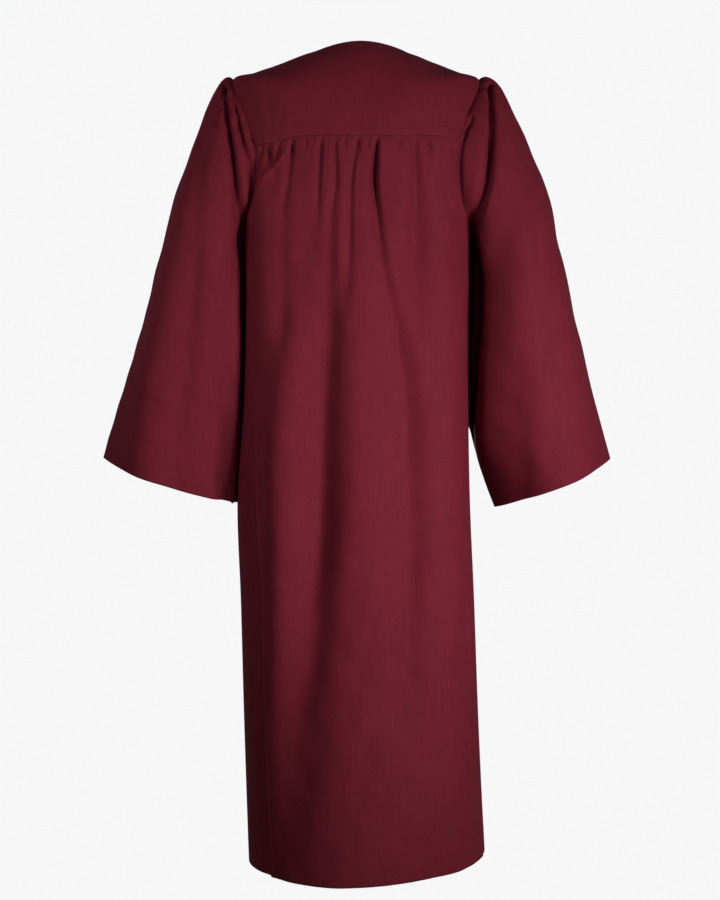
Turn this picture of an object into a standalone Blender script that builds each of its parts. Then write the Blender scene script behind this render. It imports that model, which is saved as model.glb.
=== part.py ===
"""A graduation gown, filled out as if worn, with a gathered back, bell sleeves and a front zip.

Metres, +Z up. The wearer faces -Y, so the gathered back looks along +Y and the wearer's left is +X.
The origin is midway between the two shoulder points, where a wearer's shoulders carry the gown.

Every cloth panel is a stretch of the torso tube or of a sleeve tube. A place on the torso tube is a turn,
in degrees from the centre back towards the wearer's left, and a level, which counts down the rings of
TORSO from the neck to the hem. Each panel is an open sheet along the middle of its cloth, made thick.
"""

import math
from collections import namedtuple

import bmesh
import bpy
from mathutils import Matrix, Vector

# Driving sizes
WALL = 0.0016
SEAM_GAP = 0.0004
SHOULDER_HALF = 0.191
BACK_LENGTH = 1.297
NAPE_Z = 0.056
HEM_Z = NAPE_Z - BACK_LENGTH
UNDERARM_Z = -0.245
YOKE_SEAM_Z = -0.089
YOKE_LEFT_DROP = 0.013
YOKE_RIGHT_DIP = 0.007
YOKE_DROP_FROM = 0.080
YOKE_DROP_OVER = 0.076
YOKE_DIP_X = -0.141
YOKE_DIP_REACH = 0.010
NECK_SIDE_X = 0.068
FRONT_NECK_Z = -0.112
FRONT_YOKE_Z = -0.092

# Zip sizes
ZIP_END_ROW = 6
ZIP_CLOSES = 0.14
ZIP_OPENING_HALF = 0.0034
TAPE_WALL = 0.0010
TAPE_EDGE_X = 0.0006
TAPE_UNDER_FRONT = 0.0110
CHAIN_HALF = 0.0024
CHAIN_WALL = 0.0018
CHAIN_START = 0.0098

# Slider and pull tab sizes
SLIDER_HALF = 0.0040
SLIDER_TOP = 0.0060
SLIDER_LONG = 0.0110
SLIDER_WALL = 0.0010
BACK_PLATE_CLEAR = 0.0012
POST_HALF = 0.0016
POST_LONG = 0.0028
ARCH_HALF = 0.0009
ARCH_LONG = 0.0060
ARCH_FOOT = 0.0012
ARCH_CLEAR = 0.0022
PULL_HALF = 0.0036
PULL_LONG = 0.0260
PULL_WALL = 0.0012
PULL_BAR = 0.0014
EYE_HALF = 0.0021
EYE_LONG = 0.0046
PULL_ROUNDING = 0.0010
EYE_ROUNDING = 0.0006

# How finely each piece is meshed
BACK_COLUMNS = 60
FRONT_COLUMNS = 25
YOKE_ROWS = 3
QUARTER = 5
SKIRT_ROWS = 9
SLEEVE_COLUMNS = 44
HEAD_ROWS = 6
SLEEVE_ROWS = 7
NECK_ROW_EASE = 1.7
NECK_SEARCH_STEP = 0.7
SIDE_FADE = 3
PANEL_EDGE_SHARE = 1 / 6
YOKE_EDGE_ROWS = 2
SEARCH_STEPS = 40

# The torso's rings from the neck to the hem. z_side, z_back and z_front are one ring's heights at the
# sides, the centre back and the centre front. tilt is its fall per metre towards the wearer's left, and
# square is 2 for an ellipse and more for a ring with fuller corners.
Ring = namedtuple("Ring", "half_width centre_x back_y front_y z_side z_back z_front tilt square")
TORSO = [
    Ring(NECK_SIDE_X, -0.001, 0.060, 0.052, 0.044, NAPE_Z, -0.012, 0.000, 2.00),
    Ring(0.112, 0.002, 0.086, 0.074, 0.030, 0.034, -0.030, 0.000, 2.00),
    Ring(0.158, 0.005, 0.106, 0.091, 0.014, 0.004, -0.052, 0.000, 2.05),
    Ring(SHOULDER_HALF, 0.006, 0.119, 0.104, 0.001, -0.032, -0.078, 0.000, 2.10),
    Ring(0.198, 0.006, 0.127, 0.113, -0.042, -0.066, -0.104, 0.000, 2.15),
    Ring(0.193, 0.005, 0.131, 0.120, -0.104, -0.114, -0.136, 0.000, 2.20),
    Ring(0.186, 0.005, 0.133, 0.126, -0.172, -0.174, -0.184, 0.000, 2.25),
    Ring(0.178, 0.004, 0.134, 0.130, UNDERARM_Z, UNDERARM_Z, UNDERARM_Z, 0.000, 2.30),
    Ring(0.1765, 0.006, 0.136, 0.133, -0.342, -0.342, -0.342, 0.000, 2.30),
    Ring(0.178, 0.007, 0.139, 0.137, -0.500, -0.500, -0.500, 0.000, 2.30),
    Ring(0.1845, 0.010, 0.144, 0.141, -0.660, -0.660, -0.660, 0.000, 2.30),
    Ring(0.186, 0.004, 0.149, 0.146, -0.820, -0.820, -0.820, 0.000, 2.30),
    Ring(0.1875, -0.001, 0.153, 0.151, -0.984, -0.984, -0.984, 0.000, 2.30),
    Ring(0.189, -0.006, 0.157, 0.155, -1.120, -1.120, -1.120, 0.015, 2.30),
    Ring(0.1905, -0.011, 0.160, 0.158, HEM_Z, HEM_Z, HEM_Z, 0.039, 2.30),
]
SHOULDER_LEVEL = 3
UNDERARM_LEVEL = 7
HEM_LEVEL = len(TORSO) - 1

# The armhole is an egg round each side of the torso, this many degrees wide either way.
ARMHOLE_BACK = 29
ARMHOLE_FRONT = 33
ARMHOLE_SAG = 0.4
ARMHOLE_TAPER = 1.5

# The side seams swing from the underarm to these turns, which they reach at SEAM_SETTLES and keep.
SIDE_SEAM_TURN = {"left": 57, "right": 80}
SEAM_SETTLES = 11
SIGN = {"left": 1, "right": -1}

# A sleeve's rings below the armhole: the outermost and innermost points, the middle of its depth, half
# its depth, how far its front edge is raised in degrees, and how full its corners are.
Cuff = namedtuple("Cuff", "out_x out_z in_x in_z middle_y half_depth lean square")
SLEEVES = {
    "left": [
        Cuff(0.274, -0.135, 0.191, -0.305, -0.006, 0.104, 0, 2.1),
        Cuff(0.313, -0.262, 0.191, -0.380, -0.022, 0.114, 2, 2.2),
        Cuff(0.350, -0.394, 0.192, -0.475, -0.045, 0.120, 4, 2.3),
        Cuff(0.383, -0.500, 0.194, -0.570, -0.060, 0.124, 6, 2.4),
        Cuff(0.411, -0.592, 0.195, -0.656, -0.068, 0.128, 7, 2.5),
    ],
    "right": [
        Cuff(-0.279, -0.135, -0.191, -0.305, -0.004, 0.104, 0, 2.1),
        Cuff(-0.315, -0.262, -0.189, -0.380, -0.014, 0.114, 2, 2.2),
        Cuff(-0.347, -0.394, -0.184, -0.475, -0.024, 0.120, 4, 2.3),
        Cuff(-0.375, -0.505, -0.181, -0.565, -0.030, 0.124, 6, 2.5),
        Cuff(-0.402, -0.601, -0.205, -0.656, -0.034, 0.128, 7, 2.6),
    ],
}
LIP_UNDERARM = 0.007
LIP_SHOULDER = 0.028
HEAD_PULL = 0.36
LIP_WALLS = 1.5
HEAD_ROW_EASE = 1.4
STATION_STEP = 0.3
FOLDS_START_FACING = 0.15
FOLDS_FULL_FACING = 0.50
FOLDS_START_ROWS = 2

# A fold runs down the cloth from z_top to z_end along a curve through three places across. Its depth is
# negative for a trough and positive for a ridge, and reach is half its width where it is 1/e deep.
FOLD_START = 0.035
FOLD_FINISH = 0.160
Fold = namedtuple("Fold", "x_top x_middle x_end z_top z_end reach_top reach_end depth_top depth_end")
BACK_FOLDS = [
    Fold(0.102, 0.155, 0.131, -0.080, -1.240, 0.007, 0.026, -0.0075, -0.0100),
    Fold(0.039, 0.040, 0.066, -0.080, -1.200, 0.007, 0.024, -0.0080, -0.0070),
    Fold(-0.034, -0.026, -0.022, -0.080, -0.420, 0.007, 0.012, -0.0120, -0.0030),
    Fold(-0.036, -0.055, -0.072, -0.200, -0.520, 0.010, 0.020, -0.0040, -0.0030),
    Fold(-0.081, -0.114, -0.090, -0.080, -1.100, 0.007, 0.022, -0.0075, -0.0070),
    Fold(0.080, 0.098, 0.112, -0.180, -1.150, 0.020, 0.026, 0.0060, 0.0060),
    Fold(-0.004, -0.022, -0.020, -0.180, -1.150, 0.020, 0.034, 0.0060, 0.0060),
    Fold(-0.135, -0.143, -0.165, -0.180, -1.241, 0.020, 0.024, 0.0050, 0.0060),
]
# The short gathers under the back yoke: where each starts across, how far down it reaches, and its depth.
Gather = namedtuple("Gather", "x length depth")
BACK_GATHERS = [
    Gather(0.143, 0.050, 0.0050),
    Gather(0.124, 0.055, 0.0040),
    Gather(0.081, 0.060, 0.0045),
    Gather(0.062, 0.110, 0.0050),
    Gather(0.015, 0.140, 0.0050),
    Gather(-0.006, 0.055, 0.0040),
    Gather(-0.055, 0.050, 0.0030),
    Gather(-0.102, 0.050, 0.0040),
    Gather(-0.118, 0.060, 0.0040),
    Gather(-0.140, 0.060, 0.0050),
]
GATHER_REACH = 0.0058
GATHER_RISE = 0.020

# The soft pleats down each front, between the zip and the side, as places across at the yoke and the hem.
Pleat = namedtuple("Pleat", "x_yoke x_hem depth")
FRONT_PLEATS = [
    Pleat(0.034, 0.038, 0.0080),
    Pleat(0.055, 0.064, 0.0075),
    Pleat(0.076, 0.090, 0.0080),
    Pleat(0.097, 0.116, 0.0065),
    Pleat(0.118, 0.142, 0.0045),
]
PLEAT_REACH_YOKE = 0.0068
PLEAT_REACH_HEM = 0.0120
PLEAT_HEM_SHARE = 0.7

# The folds that hang from a gathered sleeve head, on the back and on the front of each sleeve.
SLEEVE_FOLDS = {
    ("left", "back"): [
        Fold(0.212, 0.217, 0.222, 0.010, -0.110, 0.006, 0.008, -0.0060, -0.0020),
        Fold(0.206, 0.203, 0.186, 0.000, -0.240, 0.007, 0.010, -0.0090, -0.0070),
        Fold(0.186, 0.190, 0.182, -0.030, -0.200, 0.006, 0.008, -0.0060, -0.0030),
        Fold(0.236, 0.262, 0.290, 0.000, -0.420, 0.010, 0.022, -0.0040, -0.0030),
        Fold(0.225, 0.232, 0.248, -0.100, -0.650, 0.014, 0.024, -0.0050, -0.0080),
    ],
    ("right", "back"): [
        Fold(-0.212, -0.202, -0.186, 0.000, -0.230, 0.007, 0.010, -0.0090, -0.0070),
        Fold(-0.200, -0.206, -0.214, 0.010, -0.090, 0.006, 0.007, -0.0050, -0.0020),
        Fold(-0.177, -0.186, -0.187, -0.045, -0.180, 0.006, 0.008, -0.0060, -0.0030),
        Fold(-0.240, -0.268, -0.292, 0.000, -0.420, 0.010, 0.022, -0.0040, -0.0030),
        Fold(-0.222, -0.236, -0.262, -0.120, -0.660, 0.014, 0.024, -0.0050, -0.0070),
    ],
    ("left", "front"): [
        Fold(0.214, 0.220, 0.224, 0.010, -0.120, 0.006, 0.008, -0.0060, -0.0020),
        Fold(0.200, 0.202, 0.194, -0.005, -0.230, 0.007, 0.010, -0.0080, -0.0050),
        Fold(0.234, 0.262, 0.300, 0.000, -0.560, 0.010, 0.024, -0.0050, -0.0070),
    ],
    ("right", "front"): [
        Fold(-0.216, -0.222, -0.230, 0.010, -0.140, 0.006, 0.008, -0.0060, -0.0020),
        Fold(-0.198, -0.204, -0.198, -0.010, -0.220, 0.007, 0.010, -0.0080, -0.0050),
        Fold(-0.238, -0.258, -0.284, 0.000, -0.600, 0.010, 0.024, -0.0050, -0.0070),
    ],
}


def mix(first, last, part):
    return first + (last - first) * part


def smooth(part):
    part = min(max(part, 0), 1)
    return part * part * (3 - 2 * part)


def curve_through(rows, place):
    """The row at a place along a smooth curve through evenly spaced rows of numbers."""
    low = min(max(int(place), 0), len(rows) - 2)
    part = place - low
    near = [rows[min(max(low + step, 0), len(rows) - 1)] for step in (-1, 0, 1, 2)]
    weights = (
        -0.5 * part + part**2 - 0.5 * part**3,
        1 - 2.5 * part**2 + 1.5 * part**3,
        0.5 * part + 2 * part**2 - 1.5 * part**3,
        -0.5 * part**2 + 0.5 * part**3,
    )
    return [sum(weight * value for weight, value in zip(weights, column)) for column in zip(*near)]


def ring_at(level):
    return Ring(*curve_through(TORSO, level))


def torso(turn, level):
    """A point of the smooth torso tube."""
    ring = ring_at(level)
    side, back = math.sin(math.radians(turn)), math.cos(math.radians(turn))
    depth, end_z = (ring.back_y, ring.z_back) if back > 0 else (ring.front_y, ring.z_front)
    spread = abs(side / ring.half_width) ** ring.square + abs(back / depth) ** ring.square
    reach = spread ** (-1 / ring.square)
    x = ring.centre_x + reach * side
    return Vector((x, reach * back, mix(ring.z_side, end_z, back * back) - ring.tilt * x))


def outward(surface, across, down):
    """The unit normal, away from the wearer, of a surface that is a function of two numbers."""
    step = 0.01
    over = surface(across + step, down) - surface(across - step, down)
    under = surface(across, down + step) - surface(across, down - step)
    return over.cross(under).normalized()


def fold_depth(folds, x, z):
    """How far the folds push a place on the cloth outwards."""
    total = 0
    for fold in folds:
        along = (fold.z_top - z) / (fold.z_top - fold.z_end)
        if not 0 < along < 1:
            continue
        centre = (
            fold.x_top * (1 - along) * (1 - 2 * along)
            + fold.x_middle * 4 * along * (1 - along)
            + fold.x_end * along * (2 * along - 1)
        )
        reach = mix(fold.reach_top, fold.reach_end, along)
        depth = mix(fold.depth_top, fold.depth_end, along)
        ends = smooth((fold.z_top - z) / FOLD_START) * smooth((z - fold.z_end) / FOLD_FINISH)
        total += depth * ends * math.exp(-(((x - centre) / reach) ** 2))
    return total


def back_depth(point, _level):
    """The back panel's long folds and the short gathers under its yoke."""
    x, z = point.x, point.z
    total = fold_depth(BACK_FOLDS, x, z)
    below = YOKE_SEAM_Z - z
    for gather in BACK_GATHERS:
        if 0 < below < gather.length:
            shape = smooth(below / GATHER_RISE) * smooth((gather.length - below) / gather.length)
            total -= gather.depth * shape * math.exp(-(((x - gather.x) / GATHER_REACH) ** 2))
    return total * smooth(below / GATHER_RISE)


def front_depth(point, level):
    """The fronts' pleats, which are pressed at the yoke and open out towards the hem."""
    x, z = point.x - ring_at(level).centre_x, point.z
    along = min(max((FRONT_YOKE_Z - z) / (FRONT_YOKE_Z - HEM_Z), 0), 1)
    reach = mix(PLEAT_REACH_YOKE, PLEAT_REACH_HEM, along)
    total = 0
    for pleat in FRONT_PLEATS:
        centre = mix(pleat.x_yoke, pleat.x_hem, along)
        total -= pleat.depth * math.exp(-(((abs(x) - centre) / reach) ** 2))
    return total * smooth((FRONT_YOKE_Z - z) / GATHER_RISE) * mix(1, PLEAT_HEM_SHARE, along)


def station_angle(side, station):
    """The armhole's stations as angles round it."""
    corners = [0, BACK_CORNER[side], 180, 360 - FRONT_CORNER[side], 360]
    quarter = min(int(station / QUARTER), 3)
    return mix(corners[quarter], corners[quarter + 1], station / QUARTER - quarter)


def armhole_place(side, station):
    """The turn and level of a station of the armhole.

    It counts from the shoulder point, down the back to the underarm and up the front, QUARTER stations
    to the back yoke's corner, to the underarm, to the front yoke's corner and to the shoulder point.
    """
    return armhole(side, station_angle(side, station))


def armhole(side, angle):
    """The turn and level of the armhole at an angle round it, from the shoulder point by the back."""
    turn_round, turn_up = math.sin(math.radians(angle)), math.cos(math.radians(angle))
    middle = (SHOULDER_LEVEL + UNDERARM_LEVEL) / 2
    level = middle - (UNDERARM_LEVEL - middle) * turn_up + ARMHOLE_SAG * turn_round**2
    spread = -ARMHOLE_BACK if turn_round > 0 else ARMHOLE_FRONT
    return SIGN[side] * (90 + spread * abs(turn_round) ** ARMHOLE_TAPER), level


def armhole_angle(side, z, low, high):
    """Where the armhole, between two of its angles, passes a height."""
    rising = torso(*armhole(side, high)).z > torso(*armhole(side, low)).z
    for _ in range(SEARCH_STEPS):
        middle = (low + high) / 2
        if (torso(*armhole(side, middle)).z < z) == rising:
            low = middle
        else:
            high = middle
    return low


def level_at(turn, z):
    """The level at which the torso tube passes a height on one turn."""
    low, high = 0, HEM_LEVEL
    for _ in range(SEARCH_STEPS):
        middle = (low + high) / 2
        if torso(turn, middle).z > z:
            low = middle
        else:
            high = middle
    return low


BACK_CORNER = {
    "left": armhole_angle("left", YOKE_SEAM_Z - YOKE_LEFT_DROP, 0, 180),
    "right": armhole_angle("right", YOKE_SEAM_Z, 0, 180),
}
FRONT_CORNER = {side: 360 - armhole_angle(side, FRONT_YOKE_Z, 180, 360) for side in SIGN}


def back_seam_z(x):
    """The back yoke's seam: straight, with a drop at the left corner and a dip by the right one."""
    drop = YOKE_LEFT_DROP * smooth((x - YOKE_DROP_FROM) / YOKE_DROP_OVER)
    dip = YOKE_RIGHT_DIP * math.exp(-(((x - YOKE_DIP_X) / YOKE_DIP_REACH) ** 2))
    return YOKE_SEAM_Z - drop - dip


def side_seam(side, level):
    """The side seam's turn at a level."""
    swing = (SEAM_SETTLES - level) / (SEAM_SETTLES - UNDERARM_LEVEL)
    return SIGN[side] * mix(SIDE_SEAM_TURN[side], 90, min(max(swing, 0), 1) ** 2)


def skirt_levels():
    """The levels of the rows below the underarm, with one more just below the zip's end."""
    drop = HEM_LEVEL - UNDERARM_LEVEL
    levels = [UNDERARM_LEVEL + drop * row / SKIRT_ROWS for row in range(1, SKIRT_ROWS + 1)]
    return sorted(levels + [ZIP_END_LEVEL + ZIP_CLOSES])


def outer_edge(side, stations):
    """A panel's edge down the armhole, by these stations, and then down the side seam."""
    edge = [armhole_place(side, station) for station in stations]
    return edge + [(side_seam(side, level), level) for level in skirt_levels()]


def centre_front_turn(side, x, level):
    """The turn at a distance beside the centre front line."""
    ring = ring_at(level)
    return SIGN[side] * (180 - math.degrees(math.atan2(x, ring.front_y)))


def centre_edge(side, top_level, reach_x):
    """A front's edge along the zip and, below it, down to the hem."""
    ease = (UNDERARM_LEVEL - top_level) / QUARTER
    levels = [top_level + ease * row for row in range(QUARTER + 1)] + skirt_levels()
    return [(centre_front_turn(side, reach_x(level), level), level) for level in levels]


def places_between(first, last, columns, level_of=None):
    """The turns and levels of a panel between two edges, row by row."""
    rows = len(first) - 1
    grid = []
    for row in range(rows + 1):
        line = []
        for column in range(columns + 1):
            part = column / columns
            turn = mix(first[row][0], last[row][0], part)
            level = mix(first[row][1], last[row][1], part)
            if level_of:
                level = level_of(turn, level, part, row / rows)
            line.append((turn, level))
        grid.append(line)
    return grid


def pull_in(grid, sides):
    """Moves the sewn sides of a grid of points in by half a seam's gap."""
    half = SEAM_GAP / 2
    moved = [[point.copy() for point in line] for line in grid]
    for line, moved_line in zip(grid, moved):
        for side, edge, inner in (("first", 0, 1), ("last", -1, -2)):
            if side in sides:
                moved_line[edge] += (line[inner] - line[edge]).normalized() * half
    for side, edge, inner in (("top", 0, 1), ("bottom", -1, -2)):
        if side in sides:
            for column in range(len(grid[0])):
                step = grid[inner][column] - grid[edge][column]
                moved[edge][column] += step.normalized() * half
    return moved


def cloth_material(name, colour, roughness, metallic=0.0):
    material = bpy.data.materials.new(name)
    material.use_nodes = True
    shader = material.node_tree.nodes["Principled BSDF"]
    shader.inputs["Base Color"].default_value = (*colour, 1)
    shader.inputs["Roughness"].default_value = roughness
    shader.inputs["Metallic"].default_value = metallic
    return material


def add_object(name, mesh, colour, roughness, metallic=0.0):
    piece = bpy.data.objects.new(name, mesh)
    PARTS.objects.link(piece)
    mesh.materials.append(cloth_material(name, colour, roughness, metallic))
    return piece


def sheet(name, grid, wall, colour, roughness, closed=False):
    """A panel: an open sheet of triangles over a grid of points, made thick about its middle."""
    form = bmesh.new()
    vertices = [[form.verts.new(point) for point in line] for line in grid]
    columns = len(grid[0])
    for upper, lower in zip(vertices, vertices[1:]):
        for column in range(columns if closed else columns - 1):
            after = (column + 1) % columns
            a, b, c, d = upper[column], lower[column], lower[after], upper[after]
            if (a.co - c.co).length < (b.co - d.co).length:
                halves = ((a, b, c), (a, c, d))
            else:
                halves = ((a, b, d), (b, c, d))
            for half in halves:
                form.faces.new(half)
    mesh = bpy.data.meshes.new(name)
    form.to_mesh(mesh)
    form.free()
    mesh.shade_smooth()
    piece = add_object(name, mesh, colour, roughness)
    thicken = piece.modifiers.new("thickness", "SOLIDIFY")
    thicken.thickness = wall
    thicken.offset = 0


def torso_points(places, depth_of=None):
    """The points of a panel's places, with its folds, which fade out towards its sides."""
    grid = []
    for places_across in places:
        line = []
        last = len(places_across) - 1
        for column, (turn, level) in enumerate(places_across):
            point = torso(turn, level)
            if depth_of:
                fade = smooth(min(column, last - column) / SIDE_FADE)
                point += outward(torso, turn, level) * depth_of(point, level) * fade
            line.append(point)
        grid.append(line)
    return grid


def torso_panel(name, points, sides):
    """A panel of the torso tube, sewn along these sides."""
    sheet(name, pull_in(points, sides), WALL, CLOTH_COLOUR, CLOTH_ROUGHNESS)


def seam_level(turn):
    """The back yoke seam's level on one turn."""
    level = level_at(turn, YOKE_SEAM_Z)
    return level_at(turn, back_seam_z(torso(turn, level).x))


def build_back():
    """The back yoke and the gathered back panel, which meet along the yoke seam."""
    upper = {
        side: [(SIGN[side] * 90, SHOULDER_LEVEL * row / YOKE_ROWS) for row in range(YOKE_ROWS)]
        + [armhole_place(side, station) for station in range(QUARTER + 1)]
        for side in SIGN
    }

    def to_seam_above(turn, level, part, down):
        """Rows that follow the seam at the bottom."""
        straight = mix(upper["right"][-1][1], upper["left"][-1][1], part)
        return level + (seam_level(turn) - straight) * smooth((down - 0.5) * 2)

    places = places_between(upper["right"], upper["left"], BACK_COLUMNS, to_seam_above)
    places[-1][0], places[-1][-1] = upper["right"][-1], upper["left"][-1]
    torso_panel("back_yoke", torso_points(places), ("first", "last", "bottom"))

    lower = {side: outer_edge(side, range(QUARTER, 2 * QUARTER + 1)) for side in SIGN}
    rows = len(lower["left"]) - 1

    def to_seam_below(turn, level, part, down):
        """Rows that follow the seam at the top, and lie evenly apart away from the armholes."""
        row = down * rows
        if row > QUARTER - 0.5:
            return level
        top = seam_level(turn)
        straight = mix(lower["right"][0][1], lower["left"][0][1], part)
        followed = level + (top - straight) * smooth(1 - row / YOKE_EDGE_ROWS)
        even = mix(top, UNDERARM_LEVEL, row / QUARTER)
        return mix(followed, even, smooth(min(part, 1 - part) / PANEL_EDGE_SHARE))

    places = places_between(lower["right"], lower["left"], BACK_COLUMNS, to_seam_below)
    places[0][0], places[0][-1] = lower["right"][0], lower["left"][0]
    torso_panel("back_panel", torso_points(places, back_depth), ("first", "last", "top"))


def shoulder_point(side, part):
    """A point of the shoulder seam, on the straight lines between the back yoke's own points."""
    row = part * YOKE_ROWS
    low = min(int(row), YOKE_ROWS - 1)
    ends = [torso(SIGN[side] * 90, SHOULDER_LEVEL * end / YOKE_ROWS) for end in (low, low + 1)]
    return mix(*ends, row - low)


def neckline(side):
    """The front neckline's places, straight in front view from the neck's side to the zip's top."""
    edge = []
    for row in range(QUARTER + 1):
        part = (row / QUARTER) ** NECK_ROW_EASE
        x = mix(NECK_SIDE_X, ZIP_OPENING_HALF, part)
        z = mix(TORSO[0].z_side, FRONT_NECK_Z, part)
        turn, level = 90, 0
        for _ in range(SEARCH_STEPS):
            ring = ring_at(level)
            across = min(x / ring.half_width, 1)
            y = ring.front_y * (1 - across**ring.square) ** (1 / ring.square)
            turn = 180 - math.degrees(math.atan2(x, y)) if part else 90
            level = mix(level, level_at(turn, z), NECK_SEARCH_STEP)
        edge.append((SIGN[side] * turn, level))
    edge[0] = (SIGN[side] * 90, 0)
    return edge


def zip_edge_x(level):
    """Half the opening between the fronts: the zip's, and below it a seam's."""
    return SEAM_GAP / 2 if level > ZIP_END_LEVEL + ZIP_CLOSES / 2 else ZIP_OPENING_HALF


def front_columns(side, first, last):
    """A front's places, with its first column as wide as the zip tape that lies under it."""
    grid = []
    for (turn_a, level_a), (turn_b, level_b) in zip(first, last):
        strip = abs(turn_a - centre_front_turn(side, TAPE_UNDER_FRONT + ZIP_OPENING_HALF, level_a))
        strip /= abs(turn_b - turn_a)
        parts = [0] + [mix(strip, 1, column / (FRONT_COLUMNS - 1)) for column in range(FRONT_COLUMNS)]
        grid.append([(mix(turn_a, turn_b, part), mix(level_a, level_b, part)) for part in parts])
    return grid


def build_front(side):
    """One front yoke, and the pleated front below it."""
    neck = neckline(side)
    armhole_edge = [armhole_place(side, station) for station in range(4 * QUARTER, 3 * QUARTER - 1, -1)]
    centre = centre_edge(side, neck[-1][1], zip_edge_x)
    places = front_columns(side, centre, outer_edge(side, range(3 * QUARTER, 2 * QUARTER - 1, -1)))
    seam = places[0]

    yoke = []
    for row in range(QUARTER + 1):
        line = []
        down = row / QUARTER
        for column, (turn, level) in enumerate(seam):
            across = column / FRONT_COLUMNS
            edge_turn = mix(neck[row][0], armhole_edge[row][0], across)
            edge_level = mix(neck[row][1], armhole_edge[row][1], across)
            straight_turn = mix(neck[-1][0], armhole_edge[-1][0], across)
            straight_level = mix(neck[-1][1], armhole_edge[-1][1], across)
            line.append((
                edge_turn + (turn - straight_turn) * down,
                edge_level + (level - straight_level) * down,
            ))
        yoke.append(line)
    points = torso_points(yoke)
    points[0] = [shoulder_point(side, column / FRONT_COLUMNS) for column in range(FRONT_COLUMNS + 1)]
    torso_panel("front_yoke_" + side, points, ("top", "last", "bottom"))
    torso_panel("front_" + side, torso_points(places, front_depth), ("last", "top"))
    return places


def cuff_point(cuff, angle):
    """A point of a sleeve's ring, counted in degrees from its outermost point by the back."""
    across, back = math.cos(math.radians(angle)), math.sin(math.radians(angle))
    out, inner = Vector((cuff.out_x, 0, cuff.out_z)), Vector((cuff.in_x, 0, cuff.in_z))
    half = (out - inner) / 2
    lean = math.radians(cuff.lean)
    depth = Vector((0, math.cos(lean), -math.sin(lean))) * cuff.half_depth
    reach = (abs(across) ** cuff.square + abs(back) ** cuff.square) ** (-1 / cuff.square)
    middle = (out + inner) / 2 + Vector((0, cuff.middle_y, 0))
    return middle + (half * across + depth * back) * reach


def armhole_point(side, station):
    """A point of the armhole's edge, on the straight lines between the panels' own points."""
    low = math.floor(station)
    first = torso(*armhole_place(side, low))
    last = torso(*armhole_place(side, low + 1)) if station > low else first
    return mix(first, last, station - low)


def sleeve_start(side, station):
    """Where the sleeve's cloth meets the armhole, just inside it, and the way it leaves."""
    total = 4 * QUARTER
    turn, level = armhole_place(side, station)
    lip = outward(torso, turn, level)
    before = armhole_point(side, (station - STATION_STEP) % total)
    after = armhole_point(side, (station + STATION_STEP) % total)
    inward = (after - before).cross(lip).normalized() * SIGN[side]
    start = armhole_point(side, station) + inward * (SEAM_GAP + WALL / 2)
    return start - lip * WALL / 2, lip


def sleeve_line(side, station):
    """The sleeve's smooth line from one station of the armhole down to its hem, point by point."""
    angle = station_angle(side, station)
    start, lip = sleeve_start(side, station)
    rings = [cuff_point(cuff, angle) for cuff in SLEEVES[side]]
    lift = mix(LIP_UNDERARM, LIP_SHOULDER, (1 + math.cos(math.radians(angle))) / 2)
    way = (rings[1] - start).normalized()
    turned = start + lip * WALL * LIP_WALLS
    near, far = start + lip * lift, rings[0] - way * (rings[0] - start).length * HEAD_PULL
    points = [start]
    for row in range(HEAD_ROWS):
        t = (row / (HEAD_ROWS - 1)) ** HEAD_ROW_EASE
        weights = ((1 - t) ** 3, 3 * t * (1 - t) ** 2, 3 * t * t * (1 - t), t**3)
        handles = (turned, near, far, rings[0])
        points.append(sum((point * weight for point, weight in zip(handles, weights)), Vector()))
    for row in range(1, SLEEVE_ROWS + 1):
        place = 1 + (len(rings) - 1) * row / SLEEVE_ROWS
        points.append(Vector(curve_through([start] + rings, place)))
    return points


def build_sleeve(side):
    """One bell sleeve, gathered at its head."""
    stations = [4 * QUARTER * column / SLEEVE_COLUMNS for column in range(SLEEVE_COLUMNS)]
    lines = [sleeve_line(side, station) for station in stations]
    rows = len(lines[0])
    grid = []
    for row in range(rows):
        line = []
        for column in range(SLEEVE_COLUMNS):
            point = lines[column][row]
            over = lines[(column + 1) % SLEEVE_COLUMNS][row] - lines[column - 1][row]
            under = lines[column][min(row + 1, rows - 1)] - lines[column][max(row - 1, 0)]
            normal = (over.cross(under) * -SIGN[side]).normalized()
            face = "back" if normal.y > 0 else "front"
            facing = (abs(normal.y) - FOLDS_START_FACING) / (FOLDS_FULL_FACING - FOLDS_START_FACING)
            strength = smooth(facing) * smooth(row / FOLDS_START_ROWS)
            line.append(point + normal * strength * fold_depth(SLEEVE_FOLDS[side, face], point.x, point.z))
        grid.append(line)
    sheet("sleeve_" + side, grid, WALL, CLOTH_COLOUR, CLOTH_ROUGHNESS, closed=True)


def zip_point(x, level, depth):
    """A point beside the centre front line, moved outwards by a depth from the fronts' middle."""
    turn = 180 - math.degrees(math.atan2(x, ring_at(level).front_y))
    return torso(turn, level) + outward(torso, turn, level) * depth


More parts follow.
